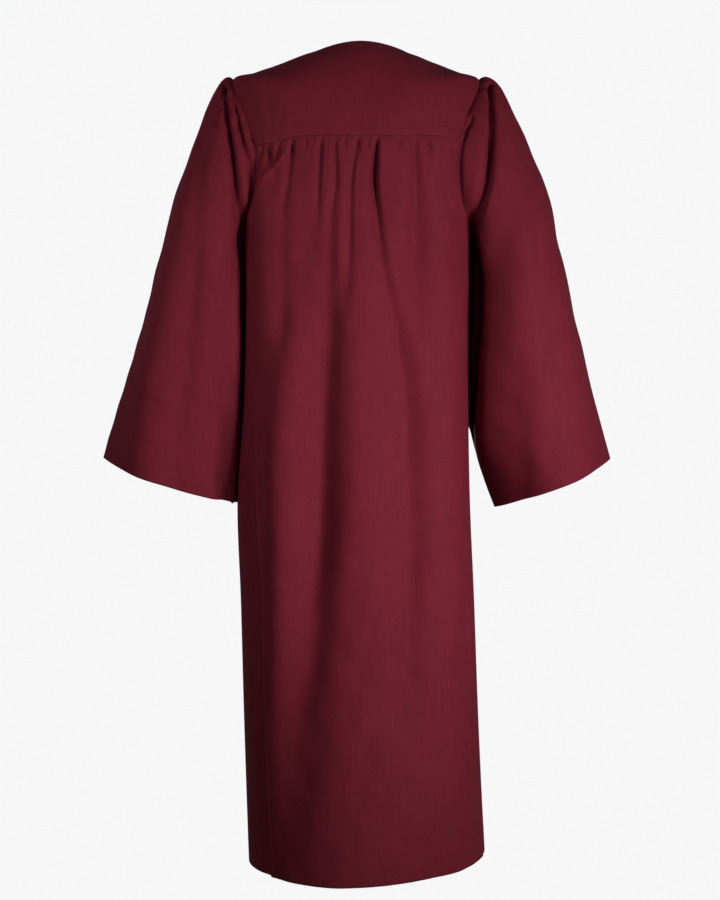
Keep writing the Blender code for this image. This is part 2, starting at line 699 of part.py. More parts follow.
def build_zip(places):
    """The two tapes behind the fronts' edges, and the closed chain between the edges."""
    tape_depth = -(WALL / 2 + SEAM_GAP + TAPE_WALL / 2)
    chain_depth = tape_depth + TAPE_WALL / 2 + SEAM_GAP + CHAIN_WALL / 2
    top = places["left"][0][0][1]
    levels = [line[0][1] for line in places["left"] if top < line[0][1] < ZIP_END_LEVEL + ZIP_CLOSES / 2]
    levels.insert(0, level_at(180, torso(180, top).z - CHAIN_START))
    for side in SIGN:
        across = [TAPE_EDGE_X, ZIP_OPENING_HALF, ZIP_OPENING_HALF + TAPE_UNDER_FRONT]
        grid = [[zip_point(SIGN[side] * x, level, tape_depth) for x in across] for level in levels]
        sheet("zip_tape_" + side, grid, TAPE_WALL, TAPE_COLOUR, TAPE_ROUGHNESS)
    grid = [[zip_point(x, level, chain_depth) for x in (-CHAIN_HALF, CHAIN_HALF)] for level in levels]
    sheet("zip_chain", grid, CHAIN_WALL, TAPE_COLOUR, CHAIN_ROUGHNESS)


def zip_frame():
    """The zip's own axes at its top end: across, up the zip, and outwards."""
    level = level_at(180, FRONT_NECK_Z)
    outwards = outward(torso, 180, level)
    across = Vector((1, 0, 0))
    turned = Matrix((across, outwards.cross(across), outwards)).transposed().to_4x4()
    return Matrix.Translation(torso(180, level)) @ turned


def block(name, low, high):
    """A box between two corners, in the zip's own axes."""
    form = bmesh.new()
    bmesh.ops.create_cube(form, size=1)
    low, high = Vector(low), Vector(high)
    place = Matrix.Translation((low + high) / 2) @ Matrix.Diagonal((*(high - low), 1))
    bmesh.ops.transform(form, matrix=place, verts=form.verts)
    mesh = bpy.data.meshes.new(name)
    form.to_mesh(mesh)
    form.free()
    return mesh


def build_slider(frame):
    """The slider at the closed zip's top: two plates, the post between them, and the pull tab's arch."""
    face = WALL / 2 + SEAM_GAP
    top = face + SLIDER_WALL
    behind = -(WALL / 2 + SEAM_GAP + TAPE_WALL + BACK_PLATE_CLEAR)
    end = SLIDER_TOP + SLIDER_LONG
    arch_middle = (SLIDER_TOP + end) / 2
    bite = SLIDER_WALL / 4

    plate = block("zip_slider", (-SLIDER_HALF, -end, face), (SLIDER_HALF, -SLIDER_TOP, top))
    slider = add_object("zip_slider", plate, METAL_COLOUR, METAL_ROUGHNESS, metallic=1)
    arch_top = top + ARCH_CLEAR
    feet = [-arch_middle - ARCH_LONG / 2, -arch_middle + ARCH_LONG / 2 - ARCH_FOOT]
    joined = {
        "back_plate": ((-SLIDER_HALF, -end, behind - SLIDER_WALL), (SLIDER_HALF, -SLIDER_TOP, behind)),
        "post": (
            (-POST_HALF, -SLIDER_TOP - bite - POST_LONG, behind - bite),
            (POST_HALF, -SLIDER_TOP - bite, face + bite),
        ),
        "arch_bar": (
            (-ARCH_HALF, feet[0], arch_top),
            (ARCH_HALF, feet[1] + ARCH_FOOT, arch_top + SLIDER_WALL),
        ),
    }
    for number, foot in enumerate(feet):
        joined[f"arch_foot_{number}"] = (
            (-ARCH_HALF, foot, top - bite),
            (ARCH_HALF, foot + ARCH_FOOT, arch_top + bite),
        )
    for name, corners in joined.items():
        helper = bpy.data.objects.new(name, block(name, *corners))
        HELPERS.objects.link(helper)
        helper.hide_render = True
        helper.display_type = "WIRE"
        helper.matrix_world = frame
        join = slider.modifiers.new(name, "BOOLEAN")
        join.operation = "UNION"
        join.object = helper
    slider.matrix_world = frame
    return Vector((0, -arch_middle, top + ARCH_CLEAR / 2))


def rectangle(curve, half, top, bottom, rounding):
    """Adds a rectangle with its corners cut, as a closed outline, to a flat curve."""
    corners = [(-half, top), (half, top), (half, bottom), (-half, bottom)]
    points = []
    for number, corner in enumerate(corners):
        corner = Vector(corner)
        for other in (corners[number - 1], corners[(number + 1) % len(corners)]):
            points.append(corner + (Vector(other) - corner).normalized() * rounding)
    spline = curve.splines.new("POLY")
    spline.points.add(len(points) - 1)
    for target, point in zip(spline.points, points):
        target.co = (*point, 0, 1)
    spline.use_cyclic_u = True


def build_pull(frame, pivot):
    """The pull tab: a flat plate whose eye takes the slider's arch. Its origin is on its hinge."""
    curve = bpy.data.curves.new("zip_pull", "CURVE")
    curve.dimensions = "2D"
    curve.fill_mode = "BOTH"
    curve.extrude = PULL_WALL / 2
    half_bar = PULL_BAR / 2
    rectangle(curve, PULL_HALF, half_bar, half_bar - PULL_LONG, PULL_ROUNDING)
    rectangle(curve, EYE_HALF, -half_bar, -half_bar - EYE_LONG, EYE_ROUNDING)
    pull = add_object("zip_pull", curve, METAL_COLOUR, METAL_ROUGHNESS, metallic=1)
    pull.matrix_world = frame @ Matrix.Translation(pivot)
    print("pull tab's hinge at", tuple(round(value, 5) for value in pull.matrix_world.translation))


CLOTH_COLOUR = (0.17, 0.016, 0.030)
TAPE_COLOUR = (0.12, 0.011, 0.020)
METAL_COLOUR = (0.20, 0.03, 0.04)
CLOTH_ROUGHNESS = 0.8
TAPE_ROUGHNESS = 0.75
CHAIN_ROUGHNESS = 0.45
METAL_ROUGHNESS = 0.35

for old in list(bpy.data.objects):
    bpy.data.objects.remove(old)
PARTS = bpy.data.collections.new("graduation_gown")
bpy.context.scene.collection.children.link(PARTS)
HELPERS = bpy.data.collections.new("helpers")
bpy.context.scene.collection.children.link(HELPERS)

ZIP_END_LEVEL = UNDERARM_LEVEL + (HEM_LEVEL - UNDERARM_LEVEL) * ZIP_END_ROW / SKIRT_ROWS

build_back()
front_places = {side: build_front(side) for side in SIGN}
build_zip(front_places)
zip_axes = zip_frame()
build_pull(zip_axes, build_slider(zip_axes))
for sleeve_side in SIGN:
    build_sleeve(sleeve_side)
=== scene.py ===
# %% [markdown]
# # A graduation gown in maroon cloth
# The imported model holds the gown's panels as plain, thick walls. This lesson dresses each of them in thin
# cloth with its gathers, hems and stitches, and gives the zip its teeth. Everything is in metres. The wearer
# faces -Y, so the gathered back looks along +Y, and the wearer's left is +X.

# %% Load the frame
import math
from collections import namedtuple

import bmesh
import bpy
import numpy as np
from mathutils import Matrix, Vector


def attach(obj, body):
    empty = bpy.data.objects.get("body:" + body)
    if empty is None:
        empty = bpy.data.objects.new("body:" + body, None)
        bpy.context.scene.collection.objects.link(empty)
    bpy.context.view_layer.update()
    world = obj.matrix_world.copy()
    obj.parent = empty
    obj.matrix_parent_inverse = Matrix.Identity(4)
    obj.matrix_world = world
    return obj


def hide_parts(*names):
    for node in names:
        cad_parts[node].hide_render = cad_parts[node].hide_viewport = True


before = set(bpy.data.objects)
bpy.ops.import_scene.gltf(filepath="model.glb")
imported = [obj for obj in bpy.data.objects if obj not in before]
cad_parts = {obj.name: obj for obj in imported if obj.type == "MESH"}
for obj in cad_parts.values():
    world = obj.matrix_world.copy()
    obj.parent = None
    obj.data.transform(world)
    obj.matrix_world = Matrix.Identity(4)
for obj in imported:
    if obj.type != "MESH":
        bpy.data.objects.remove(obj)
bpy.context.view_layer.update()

# %% [markdown]
# ## Shader maths as Python
# A shader is a graph of nodes, and wiring one by hand hides the sum that it works out. This small class
# wraps a node's output so that a + b * 2 adds the Math nodes itself. A colour or a vector goes through Mix
# or Vector Math, because a Math node would turn it grey.

# %% A wrapped socket
class Signal:
    """The output of a shader node, with Python's operators."""

    def __init__(self, tree, socket):
        self.tree, self.socket = tree, socket

    def node(self, kind, settings=None, **inputs):
        return add_node(self.tree, kind, settings, **inputs)

    def _math(self, operation, *values):
        settings = {"operation": operation}
        inputs = {f"i{number}": value for number, value in enumerate(values)}
        return self.node("ShaderNodeMath", settings, **inputs)

    def __add__(self, other):
        return self._math("ADD", self, other)

    def __sub__(self, other):
        return self._math("SUBTRACT", self, other)

    def __rsub__(self, other):
        return self._math("SUBTRACT", other, self)

    def __mul__(self, other):
        return self._math("MULTIPLY", self, other)

    def __pow__(self, other):
        return self._math("POWER", self, other)

    __radd__, __rmul__ = __add__, __mul__

    def clamp(self, low, high):
        settings = {"clamp_type": "MINMAX"}
        return self.node("ShaderNodeClamp", settings, Value=self, Min=low, Max=high)

    def scaled(self, factors):
        return self.node("ShaderNodeVectorMath", {"operation": "MULTIPLY"}, i0=self, i1=factors)

    def blend(self, first, last):
        """A colour from first, where this is 0, to last, where it is 1."""
        settings = {"data_type": "RGBA"}
        return self.node("ShaderNodeMix", settings, i0=self, i6=(*first, 1), i7=(*last, 1))


def add_node(tree, kind, settings=None, output=None, **inputs):
    """Any other node: its type, its settings, and the values or links of its sockets."""
    node = tree.nodes.new(kind)
    for name, value in (settings or {}).items():
        setattr(node, name, value)
    for name, value in inputs.items():
        place = int(name[1:]) if name[0] == "i" and name[1:].isdigit() else name.replace("_", " ")
        if isinstance(value, Signal):
            tree.links.new(value.socket, node.inputs[place])
        else:
            node.inputs[place].default_value = value
    if output is None:
        output = 2 if kind == "ShaderNodeMix" else 0
    return Signal(tree, node.outputs[output])


def new_material(name, constants):
    """A material, its node tree and its shader, with the shader's constant sockets set."""
    material = bpy.data.materials.new(name)
    material.use_nodes = True
    tree = material.node_tree
    shader = tree.nodes["Principled BSDF"]
    for socket, value in constants.items():
        shader.inputs[socket].default_value = value
    return material, tree, shader


def drive(tree, shader, **signals):
    """Links signals to the shader's sockets that vary over the surface."""
    for socket, signal in signals.items():
        tree.links.new(signal.socket, shader.inputs[socket.replace("_", " ")])


# %% [markdown]
# ## The gown's cloth
# A rented or bought graduation gown is matte polyester, woven as a fine twill of about two diagonal ribs a
# millimetre. It is too fine to see as ribs from across a room, but it breaks up the light, so it goes into
# the bump. Each mesh carries a UV map in metres of cloth, so the ribs follow the grain of every panel.

# %% Maroon twill
CLOTH_DARK = (0.103, 0.0078, 0.0148)
CLOTH_LIGHT = (0.176, 0.0152, 0.0302)
RIBS_PER_METRE = 1100
CLOTH_FINISH = {
    "Specular IOR Level": 0.07,
    "Sheen Weight": 0.02,
    "Sheen Roughness": 0.45,
    "Sheen Tint": (0.62, 0.22, 0.36, 1),
}


def cloth_material(name, dark, light, ribs, finish, weave_depth):
    material, tree, shader = new_material(name, finish)
    cloth = add_node(tree, "ShaderNodeUVMap", {"uv_map": "cloth"})
    ribbing = add_node(
        tree, "ShaderNodeTexWave", {"wave_type": "BANDS", "bands_direction": "DIAGONAL"},
        Vector=cloth, Scale=ribs / 20, Distortion=1.2, Detail=1.0,
    )
    threads = add_node(tree, "ShaderNodeTexNoise", Vector=cloth.scaled((ribs, ribs * 0.35, 1)), Scale=1.0, Detail=2.0)
    crumple = add_node(tree, "ShaderNodeTexNoise", Vector=cloth, Scale=38.0, Detail=4.0, Roughness=0.55)
    cloud = add_node(tree, "ShaderNodeTexNoise", Vector=cloth, Scale=7.0, Detail=3.0)
    streaks = add_node(tree, "ShaderNodeTexNoise", Vector=cloth.scaled((240, 14, 1)), Scale=1.0, Detail=3.0)
    slubs = add_node(tree, "ShaderNodeTexNoise", Vector=cloth.scaled((90, 420, 1)), Scale=1.0, Detail=2.0)
    tone = cloud * 0.40 + crumple * 0.30 + threads * 0.30 + streaks * 0.55 + slubs * 0.30 - 0.44
    tone = tone.clamp(0.0, 1.0)
    height = ribbing * 0.5 + threads * 0.5 + crumple * 2.4 + streaks * 0.8
    bump = add_node(
        tree, "ShaderNodeBump", None, Strength=0.35, Distance=weave_depth, Height=height
    )
    drive(tree, shader, Base_Color=tone.blend(dark, light), Roughness=0.80 - tone * 0.14, Normal=bump)
    return material


GOWN_CLOTH = cloth_material(
    "maroon_twill", CLOTH_DARK, CLOTH_LIGHT, RIBS_PER_METRE, CLOTH_FINISH, 0.00035
)
print("cloth:", len(GOWN_CLOTH.node_tree.nodes), "nodes")

# %% [markdown]
# ## The torso as one tube
# The yokes, the back and the fronts all lie on one tube round the wearer. It is described by rings from the
# neck down to the hem, and a place on it is a turn, in degrees from the centre back, and a level. Working
# with whole arrays of places keeps the script quick even on a fine mesh.

# %% Rings and the smooth curve through them
Ring = namedtuple("Ring", "half_width centre_x back_y front_y z_side z_back z_front tilt square")
TORSO = np.array([
    Ring(0.068, -0.001, 0.060, 0.052, 0.044, 0.056, -0.012, 0.000, 2.00),
    Ring(0.112, 0.002, 0.086, 0.074, 0.029, 0.034, -0.030, 0.000, 2.00),
    Ring(0.158, 0.005, 0.106, 0.091, 0.011, 0.004, -0.052, 0.000, 2.05),
    Ring(0.191, 0.006, 0.119, 0.104, 0.001, -0.032, -0.078, 0.000, 2.10),
    Ring(0.198, 0.006, 0.127, 0.113, -0.042, -0.066, -0.104, 0.000, 2.15),
    Ring(0.193, 0.005, 0.131, 0.120, -0.104, -0.114, -0.136, 0.000, 2.20),
    Ring(0.186, 0.005, 0.133, 0.126, -0.172, -0.174, -0.184, 0.000, 2.25),
    Ring(0.178, 0.004, 0.134, 0.130, -0.245, -0.245, -0.245, 0.000, 2.30),
    Ring(0.1765, 0.006, 0.136, 0.133, -0.342, -0.342, -0.342, 0.000, 2.30),
    Ring(0.178, 0.007, 0.139, 0.137, -0.500, -0.500, -0.500, 0.000, 2.30),
    Ring(0.1845, 0.010, 0.144, 0.141, -0.660, -0.660, -0.660, 0.000, 2.30),
    Ring(0.186, 0.004, 0.149, 0.146, -0.820, -0.820, -0.820, 0.000, 2.30),
    Ring(0.1875, -0.001, 0.153, 0.151, -0.984, -0.984, -0.984, 0.000, 2.30),
    Ring(0.189, -0.006, 0.157, 0.155, -1.120, -1.120, -1.120, 0.015, 2.15),
    Ring(0.1905, -0.011, 0.160, 0.158, -1.239, -1.240, -1.240, 0.044, 2.00),
])
SHOULDER, UNDERARM, HEM = 3, 7, len(TORSO) - 1
SIGN = {"left": 1, "right": -1}


def lerp(first, last, part):
    return first + (last - first) * part


def smooth(part):
    part = np.clip(part, 0, 1)
    return part * part * (3 - 2 * part)


def bell(distance, reach):
    return np.exp(-((distance / reach) ** 2))


def unit(vectors):
    return vectors / np.maximum(np.linalg.norm(vectors, axis=-1, keepdims=True), 1e-12)


def curve_through(rows, place):
    """The smooth curve through evenly spaced rows, at an array of places along them."""
    place = np.asarray(place, float)
    low = np.clip(np.floor(place).astype(int), 0, len(rows) - 2)
    part = (place - low).reshape(place.shape + (1,) * (rows.ndim - 1))
    before, first, last, after = (rows[np.clip(low + step, 0, len(rows) - 1)] for step in (-1, 0, 1, 2))
    return (
        before * (-0.5 * part + part**2 - 0.5 * part**3)
        + first * (1 - 2.5 * part**2 + 1.5 * part**3)
        + last * (0.5 * part + 2 * part**2 - 1.5 * part**3)
        + after * (-0.5 * part**2 + 0.5 * part**3)
    )


def ring_at(level):
    return Ring(*np.moveaxis(curve_through(TORSO, level), -1, 0))


def torso(turn, level):
    """Points of the smooth torso tube."""
    ring = ring_at(level)
    side, back = np.sin(np.radians(turn)), np.cos(np.radians(turn))
    depth = np.where(back > 0, ring.back_y, ring.front_y)
    end_z = np.where(back > 0, ring.z_back, ring.z_front)
    spread = np.abs(side / ring.half_width) ** ring.square + np.abs(back / depth) ** ring.square
    reach = spread ** (-1 / ring.square)
    x = ring.centre_x + reach * side
    return np.stack([x, reach * back, lerp(ring.z_side, end_z, back**2) - ring.tilt * x], axis=-1)


def outward(turn, level, step=0.01):
    over = torso(turn + step, level) - torso(turn - step, level)
    under = torso(turn, level + step) - torso(turn, level - step)
    return unit(np.cross(over, under))


def level_at(turn, z):
    """The levels at which the tube passes a height."""
    turn, z = np.broadcast_arrays(np.asarray(turn, float), np.asarray(z, float))
    low, high = np.zeros(turn.shape), np.full(turn.shape, float(HEM))
    for _ in range(40):
        middle = (low + high) / 2
        above = torso(turn, middle)[..., 2] > z
        low, high = np.where(above, middle, low), np.where(above, high, middle)
    return low


print("torso half width at the hem:", round(float(ring_at(HEM).half_width), 4))

# %% [markdown]
# ## The armholes and the seams
# Each armhole is an egg on the side of the tube. The yoke seams and the underarm cut it into quarters, which
# tie the corners of the panels and of the sleeve to the same places, so that the pieces meet.

# %% Armholes
YOKE_SEAM_Z, YOKE_LEFT_DROP, YOKE_RIGHT_DIP, FRONT_YOKE_Z = -0.089, 0.013, 0.007, -0.092
ARMHOLE_BACK, ARMHOLE_FRONT, ARMHOLE_SAG, ARMHOLE_TAPER = 29, 33, 0.4, 1.5
SIDE_SEAM_TURN, SEAM_SETTLES = {"left": 57, "right": 80}, 11


def armhole(side, angle):
    """Turn and level of the armhole at an angle round it, from the shoulder point by the back."""
    round_, up = np.sin(np.radians(angle)), np.cos(np.radians(angle))
    middle = (SHOULDER + UNDERARM) / 2
    level = middle - (UNDERARM - middle) * up + ARMHOLE_SAG * round_**2
    spread = np.where(round_ > 0, -ARMHOLE_BACK, ARMHOLE_FRONT)
    return SIGN[side] * (90 + spread * np.abs(round_) ** ARMHOLE_TAPER), level


def armhole_angle(side, z, low, high):
    angles = np.linspace(low, high, 4001)
    heights = torso(*armhole(side, angles))[:, 2]
    return float(angles[np.argmin(np.abs(heights - z))])


BACK_CORNER = {
    "left": armhole_angle("left", YOKE_SEAM_Z - YOKE_LEFT_DROP, 20, 160),
    "right": armhole_angle("right", YOKE_SEAM_Z, 20, 160),
}
FRONT_CORNER = {side: armhole_angle(side, FRONT_YOKE_Z, 200, 340) for side in SIGN}


def armhole_quarter(side, quarters):
    """The armhole's angle after so many quarters, from 0 at the shoulder point to 4 back there."""
    corners = [0, BACK_CORNER[side], 180, FRONT_CORNER[side], 360]
    return np.interp(quarters, range(5), corners)


def armhole_edge(side, first, last, count):
    return armhole(side, armhole_quarter(side, np.linspace(first, last, count)))


def side_seam(side, level):
    swing = np.clip((SEAM_SETTLES - level) / (SEAM_SETTLES - UNDERARM), 0, 1)
    return SIGN[side] * lerp(SIDE_SEAM_TURN[side], 90, swing**2)


def back_seam_z(x):
    drop = YOKE_LEFT_DROP * smooth((x - 0.080) / 0.076)
    ripple = 0.0006 * np.sin(x * 330 + 1.0) * np.sin(x * 83) + 0.0003 * np.sin(x * 710)
    return YOKE_SEAM_Z - drop - YOKE_RIGHT_DIP * bell(x + 0.141, 0.010) + ripple


def seam_level(turn):
    """The back yoke seam's level on each turn."""
    level = level_at(turn, YOKE_SEAM_Z)
    return level_at(turn, back_seam_z(torso(turn, level)[..., 0]))


print("armhole corners:", {side: round(angle) for side, angle in BACK_CORNER.items()})

# %% [markdown]
# ## Folds
# A fold is a track down the cloth with a depth, which is negative where the cloth falls back and positive
# where it stands proud. A gathered seam makes folds that start narrow and sharp, and spread and fade on the
# way down. One side of a real fold is steeper than the other, so each has a lean.

# %% Fold tracks
# Each row is a place: x, z, half width, depth. All folds of the back hang from the yoke's seam.
BACK_FOLDS = {
    "left_long": (0.0, [
        (0.038, -0.089, 0.0034, -0.0045), (0.037, -0.157, 0.0050, -0.0060), (0.043, -0.202, 0.0074, -0.0048),
        (0.045, -0.247, 0.0105, -0.0056), (0.047, -0.307, 0.0160, -0.0092), (0.050, -0.383, 0.0230, -0.0150),
        (0.056, -0.489, 0.0280, -0.0205), (0.060, -0.596, 0.0290, -0.0240), (0.065, -0.704, 0.0300, -0.0240),
        (0.075, -0.828, 0.0320, -0.0220), (0.087, -0.953, 0.0370, -0.0180), (0.100, -1.079, 0.0410, -0.0125),
        (0.110, -1.230, 0.0440, -0.0060)]),
    "left_ridge": (0.0, [
        (0.098, -0.320, 0.0160, 0.0), (0.106, -0.410, 0.0220, 0.0060), (0.114, -0.489, 0.0260, 0.0100),
        (0.118, -0.596, 0.0270, 0.0120), (0.122, -0.704, 0.0260, 0.0110), (0.130, -0.828, 0.0240, 0.0070),
        (0.138, -0.953, 0.0220, 0.0025), (0.142, -1.060, 0.0200, 0.0)]),
    "left_hollow": (0.0, [
        (0.072, -0.160, 0.0240, 0.0), (0.073, -0.240, 0.0280, -0.0070), (0.073, -0.330, 0.0330, -0.0085),
        (0.076, -0.430, 0.0400, -0.0095), (0.080, -0.550, 0.0440, -0.0105), (0.086, -0.700, 0.0440, -0.0090),
        (0.096, -0.860, 0.0420, 0.0)]),
    "low_swell": (0.0, [
        (0.026, -0.800, 0.1000, 0.0), (0.030, -0.960, 0.1100, 0.0090), (0.034, -1.100, 0.1150, 0.0150),
        (0.036, -1.245, 0.1150, 0.0160)]),
    "left_blade": (0.0, [
        (0.150, -0.100, 0.0260, 0.0), (0.150, -0.150, 0.0280, 0.0060), (0.151, -0.240, 0.0290, 0.0080),
        (0.150, -0.320, 0.0280, 0.0060), (0.148, -0.420, 0.0240, 0.0)]),
    "left_inner": (0.0, [
        (0.103, -0.089, 0.0036, -0.0030), (0.110, -0.157, 0.0058, -0.0040), (0.117, -0.202, 0.0076, -0.0030),
        (0.118, -0.247, 0.0095, -0.0028), (0.120, -0.307, 0.0115, -0.0040), (0.121, -0.383, 0.0130, -0.0040),
        (0.120, -0.450, 0.0150, 0.0)]),
    "left_short": (0.2, [
        (0.0570, -0.089, 0.0034, -0.0055), (0.0600, -0.130, 0.0044, -0.0070), (0.0625, -0.157, 0.0050, -0.0055),
        (0.0650, -0.195, 0.0064, -0.0030), (0.0665, -0.250, 0.0080, 0.0)]),
    "centre_left": (0.2, [
        (0.003, -0.089, 0.0034, -0.0050), (0.013, -0.157, 0.0052, -0.0056), (0.0150, -0.202, 0.0066, -0.0062),
        (0.0160, -0.247, 0.0078, -0.0062), (0.019, -0.307, 0.0100, -0.0046), (0.024, -0.368, 0.0120, 0.0)]),
    "centre": (0.35, [
        (-0.027, -0.089, 0.0034, -0.0080), (-0.0245, -0.135, 0.0054, -0.0160), (-0.0235, -0.157, 0.0060, -0.0160),
        (-0.0270, -0.202, 0.0074, -0.0110), (-0.0305, -0.247, 0.0105, -0.0078), (-0.039, -0.307, 0.0160, -0.0078),
        (-0.056, -0.383, 0.0260, -0.0130), (-0.073, -0.489, 0.0350, -0.0190), (-0.079, -0.596, 0.0360, -0.0200),
        (-0.079, -0.704, 0.0360, -0.0170), (-0.077, -0.828, 0.0340, -0.0110), (-0.075, -0.953, 0.0320, -0.0045),
        (-0.070, -1.060, 0.0300, 0.0)]),
    "right_long": (0.1, [
        (-0.084, -0.089, 0.0036, -0.0050), (-0.087, -0.157, 0.0088, -0.0090), (-0.088, -0.202, 0.0130, -0.0110),
        (-0.088, -0.247, 0.0170, -0.0125), (-0.086, -0.307, 0.0215, -0.0130), (-0.084, -0.383, 0.0240, -0.0070),
        (-0.084, -0.450, 0.0240, 0.0)]),
    "right_ridge": (0.0, [
        (-0.128, -0.160, 0.0120, 0.0), (-0.130, -0.247, 0.0160, 0.0032), (-0.131, -0.383, 0.0180, 0.0046),
        (-0.139, -0.489, 0.0190, 0.0050), (-0.139, -0.704, 0.0200, 0.0050), (-0.144, -0.953, 0.0210, 0.0045),
        (-0.150, -1.230, 0.0230, 0.0040)]),
    "left_drag": (0.2, [
        (0.104, -0.103, 0.0034, 0.0), (0.113, -0.118, 0.0042, 0.0034), (0.126, -0.134, 0.0048, 0.0040),
        (0.143, -0.155, 0.0050, 0.0032), (0.152, -0.176, 0.0050, 0.0)]),
    "left_corner": (-0.2, [
        (0.154, -0.100, 0.0036, -0.0044), (0.140, -0.114, 0.0042, -0.0064), (0.130, -0.146, 0.0048, -0.0036),
        (0.125, -0.176, 0.0054, 0.0)]),
}
# The short gathers: where each starts across, how far down it reaches, its half width and its depth.
SHORT_GATHERS = [
    (0.148, 0.038, 0.0034, 0.0050), (0.136, 0.044, 0.0032, 0.0046), (0.122, 0.046, 0.0034, 0.0044),
    (0.101, 0.052, 0.0032, 0.0054), (0.081, 0.028, 0.0026, 0.0026), (0.070, 0.020, 0.0024, 0.0018),
    (0.048, 0.022, 0.0024, 0.0022), (0.023, 0.028, 0.0026, 0.0030), (0.002, 0.040, 0.0030, 0.0040),
    (-0.012, 0.034, 0.0026, 0.0040), (-0.040, 0.020, 0.0024, 0.0020), (-0.058, 0.030, 0.0028, 0.0036),
    (-0.0745, 0.032, 0.0026, 0.0044), (-0.103, 0.052, 0.0032, 0.0048), (-0.122, 0.026, 0.0028, 0.0026),
    (-0.140, 0.036, 0.0032, 0.0050),
]


def lean_bell(distance, reach, lean):
    """A bell whose two sides differ in width."""
    return bell(distance, reach * (1 + lean * np.sign(distance)))


def fold_depth(folds, x, z):
    """How far a table of folds pushes the cloth out at each place."""
    total = np.zeros(np.shape(x))
    for lean, rows in folds.values():
        track = np.array(rows)[::-1]
        heights = track[:, 1]
        place = np.interp(z, heights, np.arange(len(track)))
        centre, _, reach, depth = np.moveaxis(curve_through(track, place), -1, 0)
        ends = smooth((z - heights[0] + 0.004) / 0.030) if abs(track[0, 3]) < 1e-9 else (z > heights[0] - 1) * 1.0
        ends = ends * (z < heights[-1] + 0.004)
        total += depth * ends * lean_bell(x - centre, np.abs(reach), lean)
    return total


def back_depth(points):
    """The back panel's gathers: long folds, short ones, and the cloth's puff between them."""
    x, z = points[..., 0], points[..., 2]
    below = np.maximum(back_seam_z(x) - z, 0)
    total = fold_depth(BACK_FOLDS, x, z)
    for centre, length, reach, depth in SHORT_GATHERS:
        fade = smooth(below / 0.010) * smooth((length - below) / (length * 0.8))
        spread = reach * (1 + below / 0.08)
        total -= 1.35 * depth * fade * bell(x - centre - 0.05 * (centre - 0.03) * below / 0.05, spread)
    total *= smooth(below / 0.016)
    puff = 0.0022 * smooth(below / 0.008) * smooth((0.090 - below) / 0.075)
    return total + puff - 0.0012 * (1 - smooth(below / 0.006))


# %% [markdown]
# ## Cloth from a grid of points
# Every piece of cloth is a grid of points: rows down the panel, columns across it. The grid becomes a mesh
# of quads with a UV map in metres, and a Solidify modifier gives it the cloth's thickness. A Cloth
# simulation would lay the folds where it pleased. Here the photographed folds have to fall where they fall,
# so they are listed one by one instead.

# %% Grid to mesh
CLOTH_WALL = 0.0007


def arc_lengths(points, axis):
    steps = np.linalg.norm(np.diff(points, axis=axis), axis=-1)
    start = np.zeros_like(np.take(steps, [0], axis=axis))
    return np.cumsum(np.concatenate([start, steps], axis=axis), axis=axis)


def grid_normals(points, closed=False):
    """Unit normals of a grid of points, from its neighbours across and down."""
    if closed:
        over = np.roll(points, -1, axis=1) - np.roll(points, 1, axis=1)
    else:
        over = np.gradient(points, axis=1)
    return unit(np.cross(over, np.gradient(points, axis=0)))


def cloth_piece(name, points, material, closed=False, wall=CLOTH_WALL, offset=0.0):
    """A grid of points as a thin sheet of cloth, with a UV map in metres."""
    rows, columns = points.shape[:2]
    ends = columns if closed else columns - 1
    index = np.arange(rows * columns).reshape(rows, columns)
    left, right = index[:, :ends], np.roll(index, -1, axis=1)[:, :ends]
    faces = np.stack([left[:-1], left[1:], right[1:], right[:-1]], axis=-1).reshape(-1, 4)
    mesh = bpy.data.meshes.new(name)
    mesh.from_pydata(points.reshape(-1, 3).tolist(), [], faces.tolist())

    wrapped = np.concatenate([points, points[:, :1]], axis=1) if closed else points
    across, down = arc_lengths(wrapped, 1), arc_lengths(wrapped, 0)
    across = across - across.mean(axis=1, keepdims=True)
    uv = np.stack([across, down], axis=-1)
    corners = [uv[:-1, :-1], uv[1:, :-1], uv[1:, 1:], uv[:-1, 1:]]
    layer = mesh.uv_layers.new(name="cloth")
    layer.data.foreach_set("uv", np.stack(corners, axis=2).reshape(-1).astype(np.float32))

    mesh.shade_smooth()
    mesh.materials.append(material)
    piece = bpy.data.objects.new(name, mesh)
    bpy.context.scene.collection.objects.link(piece)
    thicken = piece.modifiers.new("thickness", "SOLIDIFY")
    thicken.thickness, thicken.offset = wall, offset
    return piece


GRIDS = {}


def hemmed_piece(name, points, depth, closed=False):
    """A piece of the gown's cloth with its last edge turned up, which rides on the gown in its node's place."""
    GRIDS[name] = points
    piece = cloth_piece(name + "_cloth", turned_hem(points, depth, closed), GOWN_CLOTH, closed)
    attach(piece, "gown")
    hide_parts(name)
    print(name, len(piece.data.polygons), "quads")
    return piece


def turned_hem(points, depth, closed=False):
    """Adds the rows of a hem that is folded up inside the cloth."""
    inward = -grid_normals(points, closed)
    spacing = np.linalg.norm(points[-1] - points[-2], axis=-1).mean()
    count = max(int(depth / spacing), 3)
    fold = points[-1] + inward[-1] * HEM_SPACE / 2 + unit(points[-1] - points[-2]) * HEM_SPACE / 2
    up = [points[-1 - row] + inward[-1 - row] * HEM_SPACE for row in range(count + 1)]
    return np.concatenate([points, fold[None], np.array(up)], axis=0)


HEM_SPACE, SEAM_TUCK = 0.0016, 0.0075


def tucked(points, surface, part):
    """Runs a panel's first edge on a little way up under the yoke, so that no light shows through the seam."""
    ends = smooth(np.minimum(part, 1 - part).reshape(-1, 1) / 0.02)
    up = unit(surface[0] - surface[1]) * SEAM_TUCK * ends
    return np.concatenate([(points[0] + up)[None], points[1:]])


